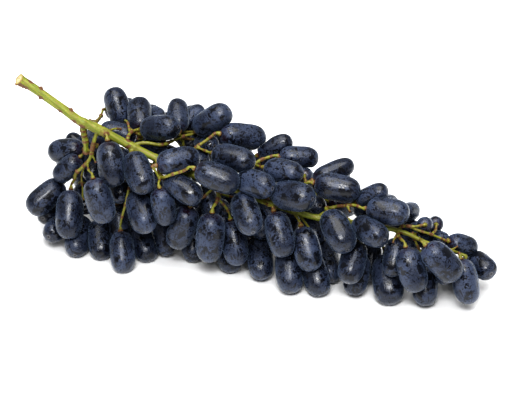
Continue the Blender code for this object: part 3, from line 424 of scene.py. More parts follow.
def out_of_sight(stem, tip, width, grow):
    """Whether a grape's whole outline lies behind the grapes that show."""
    ax, ay, _ = picture_of(stem)
    bx, by, _ = picture_of(tip)
    half = width / 2 / PIXEL
    ux, uy = (bx - ax) / 2, (by - ay) / 2
    size = math.hypot(ux, uy)
    for turn in np.linspace(0, 2 * math.pi, 12, endpoint=False):
        along, across = math.cos(turn) * max(half, size) / size, math.sin(turn) * half / size
        x = (ax + bx) / 2 + along * ux - across * uy
        y = (ay + by) / 2 + along * uy + across * ux
        if not behind_seen(x, y, grow):
            return False
    return True


def hidden_grapes(taken, rachis):
    """Seeded grapes of the far side and the underside, pointing away from the main stem."""
    rng = np.random.default_rng(HIDDEN_SEED)
    ends, widths = [], []
    spots = list(taken)
    for _ in range(HIDDEN_TRIES):
        x = rng.uniform(*HIDDEN_FROM_TO)
        angle = rng.uniform(0, 2 * math.pi)
        under = rng.uniform(0, 1) ** 2 * DEEPEST_MM * MM
        wobble = rng.normal(0, WOBBLE, 3)
        wide = rng.uniform(*HIDDEN_WIDTHS)
        width, height, middle = body_at(x)
        c, s = math.cos(angle), math.sin(angle)
        reach = (abs(c / width) ** SQUARENESS + abs(s / height) ** SQUARENESS) ** (-1 / SQUARENESS)
        reach -= under
        spot = np.array([x, middle + reach * c, height + HALF_GRAPE + reach * s])
        if np.linalg.norm(np.array(spots) - spot, axis=1).min() < HIDDEN_SPACING:
            continue
        root = rachis[np.argmin(np.linalg.norm(rachis - spot, axis=1))]
        axis = unit(unit(spot - root) * OUTWARD + LEAN + wobble)
        if spot[2] < 2 * HALF_GRAPE:
            axis = unit(axis * FLATTER)
        half = axis * wide * LONG_TO_WIDE / 2
        px, py, near = picture_of(spot)
        grape = (spot - half, spot + half)
        if near > surface_depth(px, py) - BEHIND_FRONT or not out_of_sight(*grape, wide, COVERED_BY):
            continue
        ends.append(grape)
        widths.append(wide)
        spots.append(spot)
        if len(ends) == HIDDEN_COUNT:
            break
    return np.array(ends), np.array(widths)


def profile(t):
    """Half width over the widest one, t from -1 at the stem end to 1 at the blossom end."""
    inner, outer = PROFILE_POWERS
    return (1 - np.abs(t) ** inner) ** (1 / outer)


def balls_of(ends, widths):
    """Share along each grape's axis and radius of a ball for its stem and of five that fill it."""
    shares, radii = [], []
    t = np.linspace(-1, 1, 401)
    for length, width in zip(np.linalg.norm(ends[:, 1] - ends[:, 0], axis=1), widths):
        along, half = t * length / 2, profile(t) * width / 2
        reach = length / 2 - END_BALL * width
        places = np.linspace(-reach, reach, BALLS - 1)
        inner = [np.sqrt((along - place) ** 2 + half ** 2).min() for place in places]
        shares.append([-STEM_REACH / length, *((places + length / 2) / length)])
        radii.append([STEM_ROOM, *inner])
    return np.array(shares), np.array(radii)


def balls_at(ends, shares):
    return ends[:, None, 0] * (1 - shares)[..., None] + ends[:, None, 1] * shares[..., None]


def filling(ends, widths):
    """Middles and radii of the balls that fill each grape, without the one for its stem."""
    shares, radii = balls_of(ends, widths)
    return balls_at(ends, shares)[:, 1:], radii[:, 1:]


def settle(ends, widths, seen, stem, held, home, steps):
    """Parts grapes that cross, presses held pairs together and keeps all off the main stem.

    A grape that shows moves mostly along the line of sight, and is drawn back to its place
    in the picture. Each step moves the ends of an axis by their shares of the push, and then
    puts its length right.
    """
    ends = ends.copy()
    count = len(ends)
    lengths = np.linalg.norm(ends[:, 1] - ends[:, 0], axis=1)
    shares, radii = balls_of(ends, widths)
    first, second = np.triu_indices(count, 1)
    held_pairs = {tuple(sorted(pair)) for pair in held}
    glued = np.array([pair in held_pairs for pair in zip(first.tolist(), second.tolist())])
    sideways = np.where(seen, SIDEWAYS, 1.0)[:, None]
    for _ in range(steps):
        moves = np.zeros_like(ends)
        hits = np.zeros(count)
        balls = balls_at(ends, shares)
        middle = ends.mean(axis=1)
        ray = unit(EYE - middle)

        def eased(who, normal):
            along = (normal * ray[who]).sum(-1)[:, None] * ray[who]
            return along + (normal - along) * sideways[who]

        def give(who, share, normal):
            return ((1 - share) ** 2 + share ** 2) * (normal * eased(who, normal)).sum(1)

        def push(who, share, normal, amount):
            step = amount[:, None] * eased(who, normal)
            np.add.at(moves[:, 0], who, (1 - share)[:, None] * step)
            np.add.at(moves[:, 1], who, share[:, None] * step)
            np.add.at(hits, who, 1)

        def part(a, b, from_ball, to_ball, pressed):
            """Pushes a and b to their distance where a's balls from_ball to to_ball come nearest."""
            width = BALLS - 1
            apart = balls[a][:, from_ball:to_ball, None] - balls[b][:, None, 1:]
            reach = radii[a][:, from_ball:to_ball, None] + radii[b][:, None, 1:]
            free = np.linalg.norm(apart, axis=-1) - reach
            best = free.reshape(len(a), -1).argmin(axis=1)
            found = free.reshape(len(a), -1)[np.arange(len(a)), best]
            want = np.where(pressed, -PRESSED, GAP)
            off = np.abs(found - want) > PRESSED_SLACK
            act = np.nonzero(np.where(pressed, off, found < want))[0]
            a, b, best = a[act], b[act], best[act]
            normal = unit(apart[act, best // width, best % width])
            share_a, share_b = shares[a, from_ball + best // width], shares[b, 1 + best % width]
            amount = (want - found)[act] / (give(a, share_a, normal) + give(b, share_b, normal))
            push(a, share_a, normal, amount)
            push(b, share_b, normal, -amount)

        near = np.linalg.norm(middle[first] - middle[second], axis=1) < REACH_OF_PAIRS
        a, b = first[near], second[near]
        part(a, b, 1, BALLS, glued[near])
        part(a, b, 0, 1, np.zeros(len(a), bool))
        part(b, a, 0, 1, np.zeros(len(a), bool))

        apart = balls[:, 1:, None] - stem[None, None, :, :3]
        reach = radii[:, 1:, None] + stem[None, None, :, 3]
        free = (np.linalg.norm(apart, axis=-1) - reach).reshape(count, -1)
        best = free.argmin(axis=1)
        found = free[np.arange(count), best]
        who = np.nonzero(found < GAP)[0]
        ball, spot = best[who] // len(stem), best[who] % len(stem)
        normal = unit(apart[who, ball, spot])
        share = shares[who, ball + 1]
        push(who, share, normal, (GAP - found[who]) / give(who, share, normal))

        ends += moves / np.maximum(1, hits * SHARED_PUSH)[:, None, None]
        drift = home - ends
        along = (drift * ray[:, None]).sum(-1)[..., None] * ray[:, None]
        ends += np.where(seen, HOMING, 0.0)[:, None, None] * (drift - along)
        axis = ends[:, 1] - ends[:, 0]
        long = np.linalg.norm(axis, axis=1)
        fix = axis / long[:, None] * ((long - lengths) / 2)[:, None]
        ends[:, 0] += fix
        ends[:, 1] -= fix
        low = balls_at(ends, shares)[:, :, 2] - radii
        ends[:, 0, 2] += np.maximum(0, -low[:, 1] - SUNK)
        ends[:, 1, 2] += np.maximum(0, -low[:, -1] - SUNK)
    return ends


def gap_between(ends, widths, a, b):
    """How far apart grapes a and b are, below 0 where they are pressed together."""
    balls, radii = filling(ends[[a, b]], widths[[a, b]])
    apart = np.linalg.norm(balls[0][:, None] - balls[1], axis=-1)
    return (apart - radii[0][:, None] - radii[1]).min()


def grouped(count, held):
    """The spray that each grape belongs to: those that held pairs join."""
    head = list(range(count))
    for a, b in held:
        old, new = head[b], head[a]
        head = [new if number == old else number for number in head]
    return head


def sprays(ends, widths):
    """The touching pairs that hold the grapes of each spray together."""
    balls, radii = filling(ends, widths)
    first, second = np.triu_indices(len(ends), 1)
    apart = np.linalg.norm(balls[first][:, :, None] - balls[second][:, None], axis=-1)
    free = apart - radii[first][:, :, None] - radii[second][:, None]
    free = free.reshape(len(first), -1).min(axis=1)
    pairs = [(int(first[k]), int(second[k])) for k in np.argsort(free) if free[k] < TOUCHING]
    head = list(range(len(ends)))
    held = []

    def members(grape):
        return [k for k in range(len(ends)) if head[k] == head[grape]]

    for small_join_anything in (False, True):
        for a, b in pairs:
            if head[a] == head[b]:
                continue
            ours, theirs = members(a), members(b)
            most = MOST_IN_SPRAY + SMALL_SPRAY * small_join_anything
            both_large = min(len(ours), len(theirs)) > SMALL_SPRAY
            if len(ours) + len(theirs) > most or (small_join_anything and both_large):
                continue
            for k in theirs:
                head[k] = head[a]
            held.append((a, b))
    return held


def lengths_along(points):
    """How far along the line each of its points lies."""
    return np.concatenate([[0], np.cumsum(np.linalg.norm(np.diff(points, axis=0), axis=1))])


def spaced(points, step):
    """Points about a step apart on a smooth curve through given ones, and their place among those."""
    points = np.asarray(points)
    knots = lengths_along(points)
    slopes = np.gradient(points, knots, axis=0)
    places = np.linspace(0, knots[-1], max(2, int(round(knots[-1] / step)) + 1))
    span = np.clip(np.searchsorted(knots, places, side="right") - 1, 0, len(knots) - 2)
    h = (knots[span + 1] - knots[span])[:, None]
    u = (places - knots[span])[:, None] / h
    curve = ((2 * u ** 3 - 3 * u ** 2 + 1) * points[span] + (u ** 3 - 2 * u ** 2 + u) * h * slopes[span]
             + (3 * u ** 2 - 2 * u ** 3) * points[span + 1] + (u ** 3 - u ** 2) * h * slopes[span + 1])
    return curve, np.interp(places, knots, np.arange(len(knots)))


class Stem:
    """One stem: points and half widths from its root, its parent's number and point, its grape."""

    def __init__(self, points, thick, thin, parent, grape, shows):
        self.points = points
        self.half = np.linspace(thick, thin, len(points))
        self.parent = parent
        self.grape = grape
        self.shows = shows


def main_stem():
    x, y, under, _ = next(row for row in RACHIS if row[2] is not None)
    start = surface_depth(x, y) - under * MM
    points = []
    for x, y, under, _ in RACHIS:
        if under is None:
            points.append(seen_at(x, y, start + (BARE_FROM - x) / BARE_LENGTH * BARE_RISE))
        else:
            points.append(seen_at(x, y, surface_depth(x, y) - under * MM))
    line, place = spaced(points, TWIG_STEP)
    stem = Stem(line, 0, 0, None, None, True)
    stem.half = np.interp(place, np.arange(len(RACHIS)), [row[3] * MM for row in RACHIS])
    return stem


def cut_facing(main):
    """The way the cut end faces: out along the main stem, slanted towards the eye."""
    out = unit(main.points[0] - main.points[1])
    return unit(out + CUT_SLANT * unit(EYE + CENTRE_SHIFT - main.points[0]))


def cap_points(ends, grape):
    """Where a stem meets its grape, and the point before that, out along the grape's axis."""
    out = unit(ends[grape, 0] - ends[grape, 1])
    return ends[grape, 0] + out * CAP_GAP, ends[grape, 0] + out * (CAP_GAP + CAP_LENGTH)


def seen_stems(stems, ends):
    """Adds the side stems that show, each from the nearest point of those before it."""
    for route, thick, thin, goal in TWIGS:
        grape = NUMBER[goal] if isinstance(goal, str) else None
        choices = []
        for k, stem in enumerate(stems):
            last = len(stem.points) - (3 if stem.grape is not None else 0)
            for i, point in enumerate(stem.points[:last]):
                x, y, _ = picture_of(point)
                choices.append((math.hypot(x - route[0][0], y - route[0][1]), k, i))
        _, k, i = min(choices)
        root = stems[k].points[i]
        x, y, start = picture_of(root)
        stops = [(x, y), *route[1:]]
        finish = surface_depth(*route[-1]) - goal * MM if grape is None else None
        if grape is not None:
            tip, before = cap_points(ends, grape)
            x, y, finish = picture_of(before)
            stops.append((x, y))
        steps = [math.dist(a, b) for a, b in zip(stops[:-1], stops[1:])]
        along = np.concatenate([[0], np.cumsum(steps)])
        points = [seen_at(x, y, start + (finish - start) * place / along[-1])
                  for (x, y), place in zip(stops, along)]
        line, _ = spaced(points, TWIG_STEP)
        if grape is not None:
            line = np.vstack([line, tip])
        stems.append(Stem(line, thick * MM, thin * MM, (k, i), grape, True))


def grown_stems(stems, ends, widths):
    """Joins each grape that has no stem yet to the stalk so far, the cheapest join first.

    A join costs its length and what it would pass through grapes on a straight way.
    """
    balls, sizes = filling(ends, widths)
    balls, sizes = balls.reshape(-1, 3), sizes.ravel()
    with_stem = {stem.grape for stem in stems}
    todo = [k for k in range(len(ends)) if k not in with_stem]
    before = {grape: cap_points(ends, grape)[1] for grape in todo}
    best = {grape: (math.inf, None, None) for grape in todo}
    shares_of_way = np.linspace(0, 1, 9)[:, None]

    def offer(k):
        stem = stems[k]
        first = 1 if k else int(np.argmax(picture_of(stem.points)[0] > BARE_UP_TO))
        last = len(stem.points) if stem.grape is None else max(2, int(len(stem.points) * ROOTS_UP_TO))
        roots = stem.points[first:last]
        for grape in todo:
            away = np.linalg.norm(roots - before[grape], axis=1)
            for i in np.argsort(away)[:ROOTS_TRIED]:
                if not SHORTEST_GROWN < away[i] < best[grape][0]:
                    continue
                way = roots[i] + (before[grape] - roots[i]) * shares_of_way
                free = (np.linalg.norm(way[:, None] - balls, axis=-1) - sizes).min(axis=1)
                cost = away[i] + CROSSING_COST * np.maximum(0, TWIG_GAP - free).sum()
                if cost < best[grape][0]:
                    best[grape] = (cost, (k, first + int(i)), roots[i])

    for k in range(len(stems)):
        offer(k)
    while todo:
        grape = min(todo, key=lambda number: best[number][0])
        todo.remove(grape)
        _, parent, root = best[grape]
        tip, end = cap_points(ends, grape)
        lead = end + unit(end - tip) * min(LEAD, np.linalg.norm(end - root) / 3)
        line, _ = spaced([root, lead, end], TWIG_STEP)
        stems.append(Stem(np.vstack([line, tip]), GROWN_HALF, PEDICEL_HALF, parent, grape, False))
        offer(len(stems) - 1)


def evenly(points):
    """As many points, spread evenly along the same line."""
    along = lengths_along(points)
    places = np.linspace(0, along[-1], len(points))
    return np.column_stack([np.interp(places, along, points[:, axis]) for axis in range(3)])


def bend_clear(stems, ends, widths):
    """Bends the stems between the grapes. Those that show keep their place in the picture."""
    balls, sizes = filling(ends, widths)
    balls, sizes = balls.reshape(-1, 3), sizes.ravel()
    starts = np.cumsum([0] + [len(stem.points) for stem in stems])
    points = np.concatenate([stem.points for stem in stems])
    half = np.concatenate([stem.half for stem in stems])
    moving, between, spans, necks, follows = [], [], [], [], []
    shows = np.zeros(len(points), bool)
    for k, stem in enumerate(stems[1:], 1):
        a, b = starts[k], starts[k + 1]
        carries = stem.grape is not None
        moving += range(a + 1, b - carries)
        between += range(a + 1, b - 1 - carries)
        spans.append((a, b - carries))
        if carries:
            necks.append(b - 2)
        follows.append((a, starts[stem.parent[0]] + stem.parent[1]))
        shows[a:b] = stem.shows
    moving, between = np.array(moving), np.array(between)
    home = points.copy()
    smooth = np.where(shows[between], SMOOTH_SHOWN, SMOOTH_HIDDEN)[:, None]
    for step in range(BEND_STEPS):
        loose = step < BEND_STEPS * LOOSE_STEPS
        if step % NEAR_EVERY == 0:
            away = np.linalg.norm(points[moving][:, None] - balls, axis=-1) - sizes
            near = np.argsort(away, axis=1)[:, :BALLS_NEAR]
        straight = (points[between - 1] + points[between + 1]) / 2 - points[between]
        points[between] += smooth * (1.0 if loose else SMOOTH_AT_END) * straight
        apart = points[moving][:, None] - balls[near]
        distance = np.linalg.norm(apart, axis=-1)
        deep = np.maximum(0, sizes[near] + half[moving][:, None] + TWIG_GAP - distance)
        push = (deep[..., None] * unit(apart)).sum(axis=1)
        ray = unit(EYE - points[moving])
        along = (push * ray).sum(-1)[:, None] * ray
        sideways = np.where(shows[moving], SHOWN_SIDEWAYS, 1.0)[:, None]
        drift = home[moving] - points[moving]
        drift -= (drift * ray).sum(-1)[:, None] * ray
        points[moving] += PUSH_RATE * (along + (push - along) * sideways)
        if loose:
            points[moving] += HOME_RATE * shows[moving][:, None] * drift
            points[necks] += NECK_RATE * (home[necks] - points[necks])
        points[moving, 2] = np.maximum(points[moving, 2], half[moving] + STEM_CLEAR)
        for a, root in follows:
            points[a] = points[root]
        if step % EVEN_EVERY == 0 and step < EVEN_UNTIL:
            for a, b in spans:
                points[a:b] = evenly(points[a:b])
    for k, stem in enumerate(stems):
        stem.points = points[starts[k]:starts[k + 1]]


def laid_out():
    """Grapes (ends and widths), the spray of each, and the stems."""
    home, widths = seen_grapes()
    main = main_stem()
    stem = np.column_stack([main.points, main.half])
    seen = np.ones(len(home), bool)
    ends = settle(home, widths, seen, stem, [], home, PARTING_STEPS)
    more, more_widths = hidden_grapes(ends.mean(axis=1), main.points)
    ends, home = np.concatenate([ends, more]), np.concatenate([home, more])
    widths = np.concatenate([widths, more_widths])
    seen = np.arange(len(ends)) < len(SEEN)
    ends = settle(ends, widths, seen, stem, [], home, PARTING_STEPS)
    kept = [k for k in range(len(ends))
            if seen[k] or out_of_sight(*ends[k], widths[k], STILL_COVERED_BY)]
    ends, home, widths, seen = ends[kept], home[kept], widths[kept], seen[kept]
    held = sprays(ends, widths)
    ends = settle(ends, widths, seen, stem, held, home, PRESSING_STEPS)
    held = [pair for pair in held if gap_between(ends, widths, *pair) < -PRESSED_ENOUGH]
    ends = settle(ends, widths, seen, stem, held, home, LAST_STEPS)
    stems = [main]
    seen_stems(stems, ends)
    grown_stems(stems, ends, widths)
    bend_clear(stems, ends, widths)
    for stem in stems:
        stem.points = stem.points + CENTRE_SHIFT
    return ends + CENTRE_SHIFT, widths, grouped(len(ends), held), stems


def spray_members(ends, spray):
    """The grapes of each spray, the sprays in order along the bunch."""
    found = [[k for k in range(len(ends)) if spray[k] == head] for head in sorted(set(spray))]
    return sorted(found, key=lambda grapes: np.mean([ends[k].mean(axis=0)[0] for k in grapes]))


def frame_along(axis):
    """Two directions across an axis."""
    side = unit(np.cross(axis, (0, 0, 1) if abs(axis[2]) < 0.9 else (1, 0, 0)))
    return side, np.cross(axis, side)


# Attributes give lengths in centimetres, which suits the scale of the noises
TO_CM = 100

# Grapes close up
AROUND = 36
ALONG = 26
TAPER = (-0.035, 0.02)
RIDGES = 7
RIDGE = 0.10 * MM
LOBE = 0.16 * MM
LUMP = 0.12 * MM
STEM_DIMPLE = (0.75 * MM, 1.9 * MM)
SCAR_DIMPLE = (0.22 * MM, 0.9 * MM)
CONTACT_REACH = 0.2 * MM
CONTACT_CLEAR = 0.03 * MM
FLOOR_CLEAR = 0.02 * MM
RUB_REACH = 1.6 * MM
GRAPE_SEED = 5

# Stalk close up
TUBE_SIDES = 14
MAIN_SIDES = 24
RIBS = 5
RIB_TWIST = 0.05
RIB_DEPTH = 0.05
MAIN_RIB_DEPTH = 0.035
TUBE_STEP = 0.8 * MM
SIDE_STEM_SLIM = 0.86
UNEVEN = 0.10
STUB_KNOB = 0.5 * MM
FORK_SWELL = 0.34
FORK_REACH = 1.5 * MM
MAIN_SWELL_SHARE = 0.4
KNEE_EVERY = 6.5 * MM
KNEES_FROM_TO = (0.2, 0.9)
CUT_ROOM = 2.2 * MM
CAP_FLARE = 1.65 * MM
CAP_REACH = 1.3 * MM
CAP_POWER = 2.4
CAP_LIP = 0.45 * MM
CAP_RIM = 0.8
WARTS_ON_CAP = 7
WART_ROWS = 4
WART_MM = (0.38, 0.62)
WART_SUNK = 0.9
WART_SIDES = 6
WART_RINGS = (0.8, 1.57, 2.34)
VOXEL = 0.36 * MM
SMOOTHING = (0.5, 3)
STALK_SEED = 3

# Knots and scars on the bare main stem: x and y in pixels and half width in mm
KNOTS = [
    (41.5, 87.4, 1.2), (39.5, 98.5, 1.1), (71.7, 108.7, 1.2), (59.3, 111.5, 0.8), (30.5, 81.8, 0.9),
    (16.5, 84, 1.1), (19.5, 85.8, 1.15), (22.5, 87, 1.1), (25.5, 88.5, 0.9), (74, 121.5, 0.9),
    (79, 131, 1.0), (100.5, 130, 0.9), (128, 139, 0.9)]

# How brown the stems are, and how far it reaches along them
FORK_BROWN = (0.9, 1.3 * MM)
MAIN_FORK_BROWN = (0.3, 2.5 * MM)
STUB_BROWN_REACH = 2.0 * MM
CAP_BROWN_REACH = 1.6 * MM
KNOT_BROWN = 0.85

# What the bark is told of each point: its stem's thickness as a share of the thickest, its stem's
# number, and whether it lies on the cut end
THICKEST = 3 * MM
STEMS_TO_UNIT = 10
CUT_DEPTH = 0.3 * MM
CUT_REACH = 6 * MM


def hump(away, reach):
    """A round hump of height 1 that falls off over reach."""
    return np.exp(-(away / reach) ** 2)


def humps(way, spots, reach):
    """The highest of the humps at some spots along the way."""
    found = np.zeros(len(way))
    for spot in spots:
        found = np.maximum(found, hump(way - spot, reach))
    return found


def grape_points(rng, stem_end, blossom_end, width):
    """Points of one grape in rings from stem to blossom, with its poles last, and their local place."""
    middle, half = (stem_end + blossom_end) / 2, (blossom_end - stem_end) / 2
    length = np.linalg.norm(half)
    axis = half / length
    side, other = frame_along(axis)
    t = -np.cos(np.linspace(0, math.pi, ALONG + 2)[1:-1])
    turn = np.arange(AROUND) * 2 * math.pi / AROUND
    phase = rng.uniform(0, 2 * math.pi, 6)
    taper = rng.uniform(*TAPER)
    reach = profile(t) * width / 2 * (1 + taper * t)
    t, reach = t[:, None], reach[:, None]
    full = profile(t) ** 0.5
    fading = 0.6 + 0.4 * np.sin(2.2 * t + phase[1])
    bump = (RIDGE * np.cos(RIDGES * turn + phase[0]) * full * fading
            + LOBE * np.cos(2 * turn + phase[2]) * full
            + LUMP * np.cos(3 * turn + phase[3] + 2.5 * t) * full * np.cos(3 * t + phase[4]))
    reach = reach + bump
    z = t * length + 0 * turn
    z = z + STEM_DIMPLE[0] * hump(reach, STEM_DIMPLE[1]) * (t < 0)
    z = z - SCAR_DIMPLE[0] * hump(reach, SCAR_DIMPLE[1]) * (t > 0)
    local = np.stack([reach * np.cos(turn), reach * np.sin(turn), z], axis=-1).reshape(-1, 3)
    poles = np.array([[0, 0, -length + STEM_DIMPLE[0]], [0, 0, length - SCAR_DIMPLE[0]]])
    local = np.vstack([local, poles])
    return middle + local @ np.array([side, other, axis]), local, length


def ring_faces(start, rings, sides):
    """Faces between rings of points, and fans to the two poles that follow them."""
    faces = []
    for ring in range(rings - 1):
        a, b = start + ring * sides, start + (ring + 1) * sides
        faces += [(a + k, a + (k + 1) % sides, b + (k + 1) % sides, b + k) for k in range(sides)]
    last, pole = start + (rings - 1) * sides, start + rings * sides
    faces += [(pole, start + (k + 1) % sides, start + k) for k in range(sides)]
    faces += [(pole + 1, last + k, last + (k + 1) % sides) for k in range(sides)]
    return faces


def flattened(points, grape, ends, balls, radii):
    """A grape's points pressed flat on its neighbours and the ground, and how near others come."""
    middle = ends.mean(axis=1)
    near = [k for k in range(len(ends)) if k != grape
            and np.linalg.norm(middle[k] - middle[grape]) < REACH_OF_PAIRS]
    closest = np.ones(len(points))
    for k in near:
        apart = balls[k][None] - balls[grape][:, None]
        size = np.linalg.norm(apart, axis=-1)
        free = size - radii[k][None] - radii[grape][:, None]
        i, j = np.unravel_index(free.argmin(), free.shape)
        gap = free[i, j]
        away = (np.linalg.norm(points[:, None] - balls[k], axis=-1) - radii[k]).min(axis=1)
        closest = np.minimum(closest, away)
        if gap > CONTACT_REACH:
            continue
        normal = apart[i, j] / size[i, j]
        place = balls[grape][i] + normal * (radii[grape][i] + gap / 2 - CONTACT_CLEAR)
        over = np.maximum(0, (points - place) @ normal)
        points = points - over[:, None] * normal
    points[:, 2] = np.maximum(points[:, 2], FLOOR_CLEAR)
    return points, closest


def placed(name, data):
    """A new object that holds some data, in the scene."""
    obj = bpy.data.objects.new(name, data)
    bpy.context.scene.collection.objects.link(obj)
    return obj


def new_mesh(name, points, faces):
    mesh = bpy.data.meshes.new(name)
    mesh.from_pydata(points, [], faces)
    return placed(name, mesh)


def dress(obj, material):
    """Gives a mesh smooth shading and one material."""
    obj.data.materials.clear()
    obj.data.materials.append(material)
    obj.data.shade_smooth()


def add_attributes(obj, **fields):
    """Stores numbers, or vectors in rows of three, for the points of a mesh."""
    for name, values in fields.items():
        kind, field = ("FLOAT_VECTOR", "vector") if values.ndim == 2 else ("FLOAT", "value")
        layer = obj.data.attributes.new(name, kind, "POINT")
        layer.data.foreach_set(field, values.astype(np.float32).ravel())


def build_grapes(ends, widths, spray, skin):
    rng = np.random.default_rng(GRAPE_SEED)
    balls, radii = filling(ends, widths)
    shapes = [grape_points(rng, *ends[k], widths[k]) for k in range(len(ends))]
    seeds = rng.uniform(0, 1, len(ends))
    for number, members in enumerate(spray_members(ends, spray), 1):
        rows, faces = [], []
        for order, k in enumerate(members):
            world, own, length = shapes[k]
            world, closest = flattened(world, k, ends, balls, radii)
            faces += ring_faces(order * len(own), ALONG, AROUND)
            rubbed = np.clip(1 - closest / RUB_REACH, 0, 1)
            seed = np.full(len(own), seeds[k])
            rows.append(np.column_stack([world, own * TO_CM, own[:, 2] / length, rubbed, seed]))
        rows = np.vstack(rows)
        obj = new_mesh(f"grapes_{number:02d}_skin", rows[:, :3].tolist(), faces)
        dress(obj, skin)
        add_attributes(obj, own=rows[:, 3:6], along=rows[:, 6], rubbed=rows[:, 7], seed=rows[:, 8])
        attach(obj, "root")
        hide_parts(f"grapes_{number:02d}")


def tube(points, half, sides, depth):
    """Points of a ribbed tube in rings with its poles last, and its counts of rings and sides."""
    rings = []
    side = None
    last = len(points) - 1
    turn = np.arange(sides) * 2 * math.pi / sides
    for k, point in enumerate(points):
        way = unit(points[min(k + 1, last)] - points[max(k - 1, 0)])
        if side is None:
            side, _ = frame_along(way)
        side = unit(side - way * (side @ way))
        reach = half[k] * (1 + depth * np.cos(RIBS * turn + RIB_TWIST * k))
        around = np.cos(turn)[:, None] * side + np.sin(turn)[:, None] * np.cross(way, side)
        rings.append(point + reach[:, None] * around)
    return np.vstack([*rings, points[0], points[-1]]), len(points), sides


def wart(centre, size):
    """Points of a small round wart in rings with its poles last, and its counts of rings and sides."""
    turn = np.arange(WART_SIDES) * 2 * math.pi / WART_SIDES
    rings = []
    for angle in WART_RINGS:
        out, up = math.sin(angle), np.full(WART_SIDES, -math.cos(angle))
        rings.append(centre + size * np.column_stack([out * np.cos(turn), out * np.sin(turn), up]))
    points = np.vstack([*rings, centre - (0, 0, size), centre + (0, 0, size)])
    return points, len(WART_RINGS), WART_SIDES


def close_up_stems(stems, rng):
    """Fine points, half widths, lengths along and forks of each stem.

    A stem is thicker at its forks and knees, and flared at its cap. The main stem runs on past
    its cut, which then takes the rest off.
    """
    fine = []
    for k, stem in enumerate(stems):
        along = lengths_along(stem.points)
        line, place = spaced(stem.points, TUBE_STEP)
        half = np.interp(place, np.arange(len(stem.points)), stem.half)
        way = np.interp(place, np.arange(len(stem.points)), along)
        forks = [along[other.parent[1]] for other in stems[1:] if other.parent[0] == k]
        if k:
            slim = SIDE_STEM_SLIM if stem.grape is not None else 1.0
            half = half * (slim + UNEVEN * rng.normal(0, 1, len(half)).clip(-1, 1))
            if stem.grape is None:
                half = half + STUB_KNOB * humps(way, way[-1:], STUB_KNOB)
            knees = rng.uniform(*KNEES_FROM_TO, int(way[-1] / KNEE_EVERY))
            forks += [0.0, *(way[-1] * knees)]
        swell = FORK_SWELL * (1 if k else MAIN_SWELL_SHARE)
        half = half * (1 + swell * humps(way, forks, FORK_REACH))
        if stem.grape is not None:
            left = way[-1] - way
            half = half + (CAP_FLARE - PEDICEL_HALF) * np.exp(-(left / CAP_REACH) ** CAP_POWER)
            out = unit(line[-1] - line[-2])
            line = np.vstack([line, line[-1] + out * CAP_LIP])
            half = np.append(half, CAP_FLARE * CAP_RIM)
            way = np.append(way, way[-1] + CAP_LIP)
        if k == 0:
            out = unit(line[0] - line[1])
            line = np.vstack([line[0] + out * CUT_ROOM, line])
            half, way = np.append(half[0], half), np.append(way[0], way)
        fine.append((line, half, way, forks))
    return fine


def knots_of(main):
    """Middle and size of each knot on the main stem."""
    px, py, _ = picture_of(main.points - CENTRE_SHIFT)
    found = []
    for x, y, size in KNOTS:
        k = int(np.argmin(np.hypot(px - x, py - y)))
        away = RIGHT * (x - px[k]) + UP * (py[k] - y)
        reach = min(np.linalg.norm(away) * PIXEL, main.half[k])
        found.append((main.points[k] + unit(away) * reach, size * MM))
    return found


def stalk_mesh(stems, fine, rng):
    """One mesh of all the stems, warts and knots, remeshed so that they grow into each other."""
    pieces = []
    for k, (line, half, _, _) in enumerate(fine):
        if k == 0:
            piece, rings, sides = tube(line, half, MAIN_SIDES, MAIN_RIB_DEPTH)
            way, facing = unit(line[1] - line[0]), cut_facing(stems[0])
            over = np.maximum(0, (piece - stems[0].points[0]) @ facing)
            pieces.append((piece - way * (over / (way @ facing))[:, None], rings, sides))
            continue
        pieces.append(tube(line, half, TUBE_SIDES, RIB_DEPTH))
        if stems[k].grape is not None:
            for _ in range(WARTS_ON_CAP):
                spot = len(line) - 2 - int(rng.integers(0, WART_ROWS))
                away = unit(rng.normal(0, 1, 3)) * half[spot] * WART_SUNK
                pieces.append(wart(line[spot] + away, rng.uniform(*WART_MM) * MM))
    pieces += [wart(*knot) for knot in knots_of(stems[0])]
    points, faces = [], []
    for piece, rings, sides in pieces:
        faces += ring_faces(len(points), rings, sides)
        points += piece.tolist()
    obj = new_mesh("stalk_bark", points, faces)
    remesh = obj.modifiers.new("remesh", "REMESH")
    remesh.mode = "VOXEL"
    remesh.voxel_size = VOXEL
    smooth = obj.modifiers.new("smooth", "SMOOTH")
    smooth.factor, smooth.iterations = SMOOTHING
    bpy.context.view_layer.update()
    graph = bpy.context.evaluated_depsgraph_get()
    done = bpy.data.meshes.new_from_object(obj.evaluated_get(graph), depsgraph=graph)
    obj.modifiers.clear()
    obj.data = done
    return obj


def stem_facts(stems, fine):
    """Points on the stems and knots, and for each its length along, brown, half width and stem."""
    places, facts = [], []
    for k, (line, half, way, forks) in enumerate(fine):
        strength, reach = FORK_BROWN if k else MAIN_FORK_BROWN
        brown = strength * humps(way, forks, reach)
        bare = np.full(len(line), True)
        if k:
            reach = STUB_BROWN_REACH if stems[k].grape is None else CAP_BROWN_REACH
            brown = np.maximum(brown, humps(way, way[-1:], reach))
            parent, fork = stems[k].parent
            bare = way > min(stems[parent].half[fork], way[-1] / 2)
        places.append(line[bare])
        facts.append(np.column_stack([way, brown, half, np.full(len(line), k)])[bare])
    for spot, size in knots_of(stems[0]):
        places.append([spot])
        facts.append([(0, KNOT_BROWN, size, 0)])
    return np.vstack(places), np.vstack(facts)


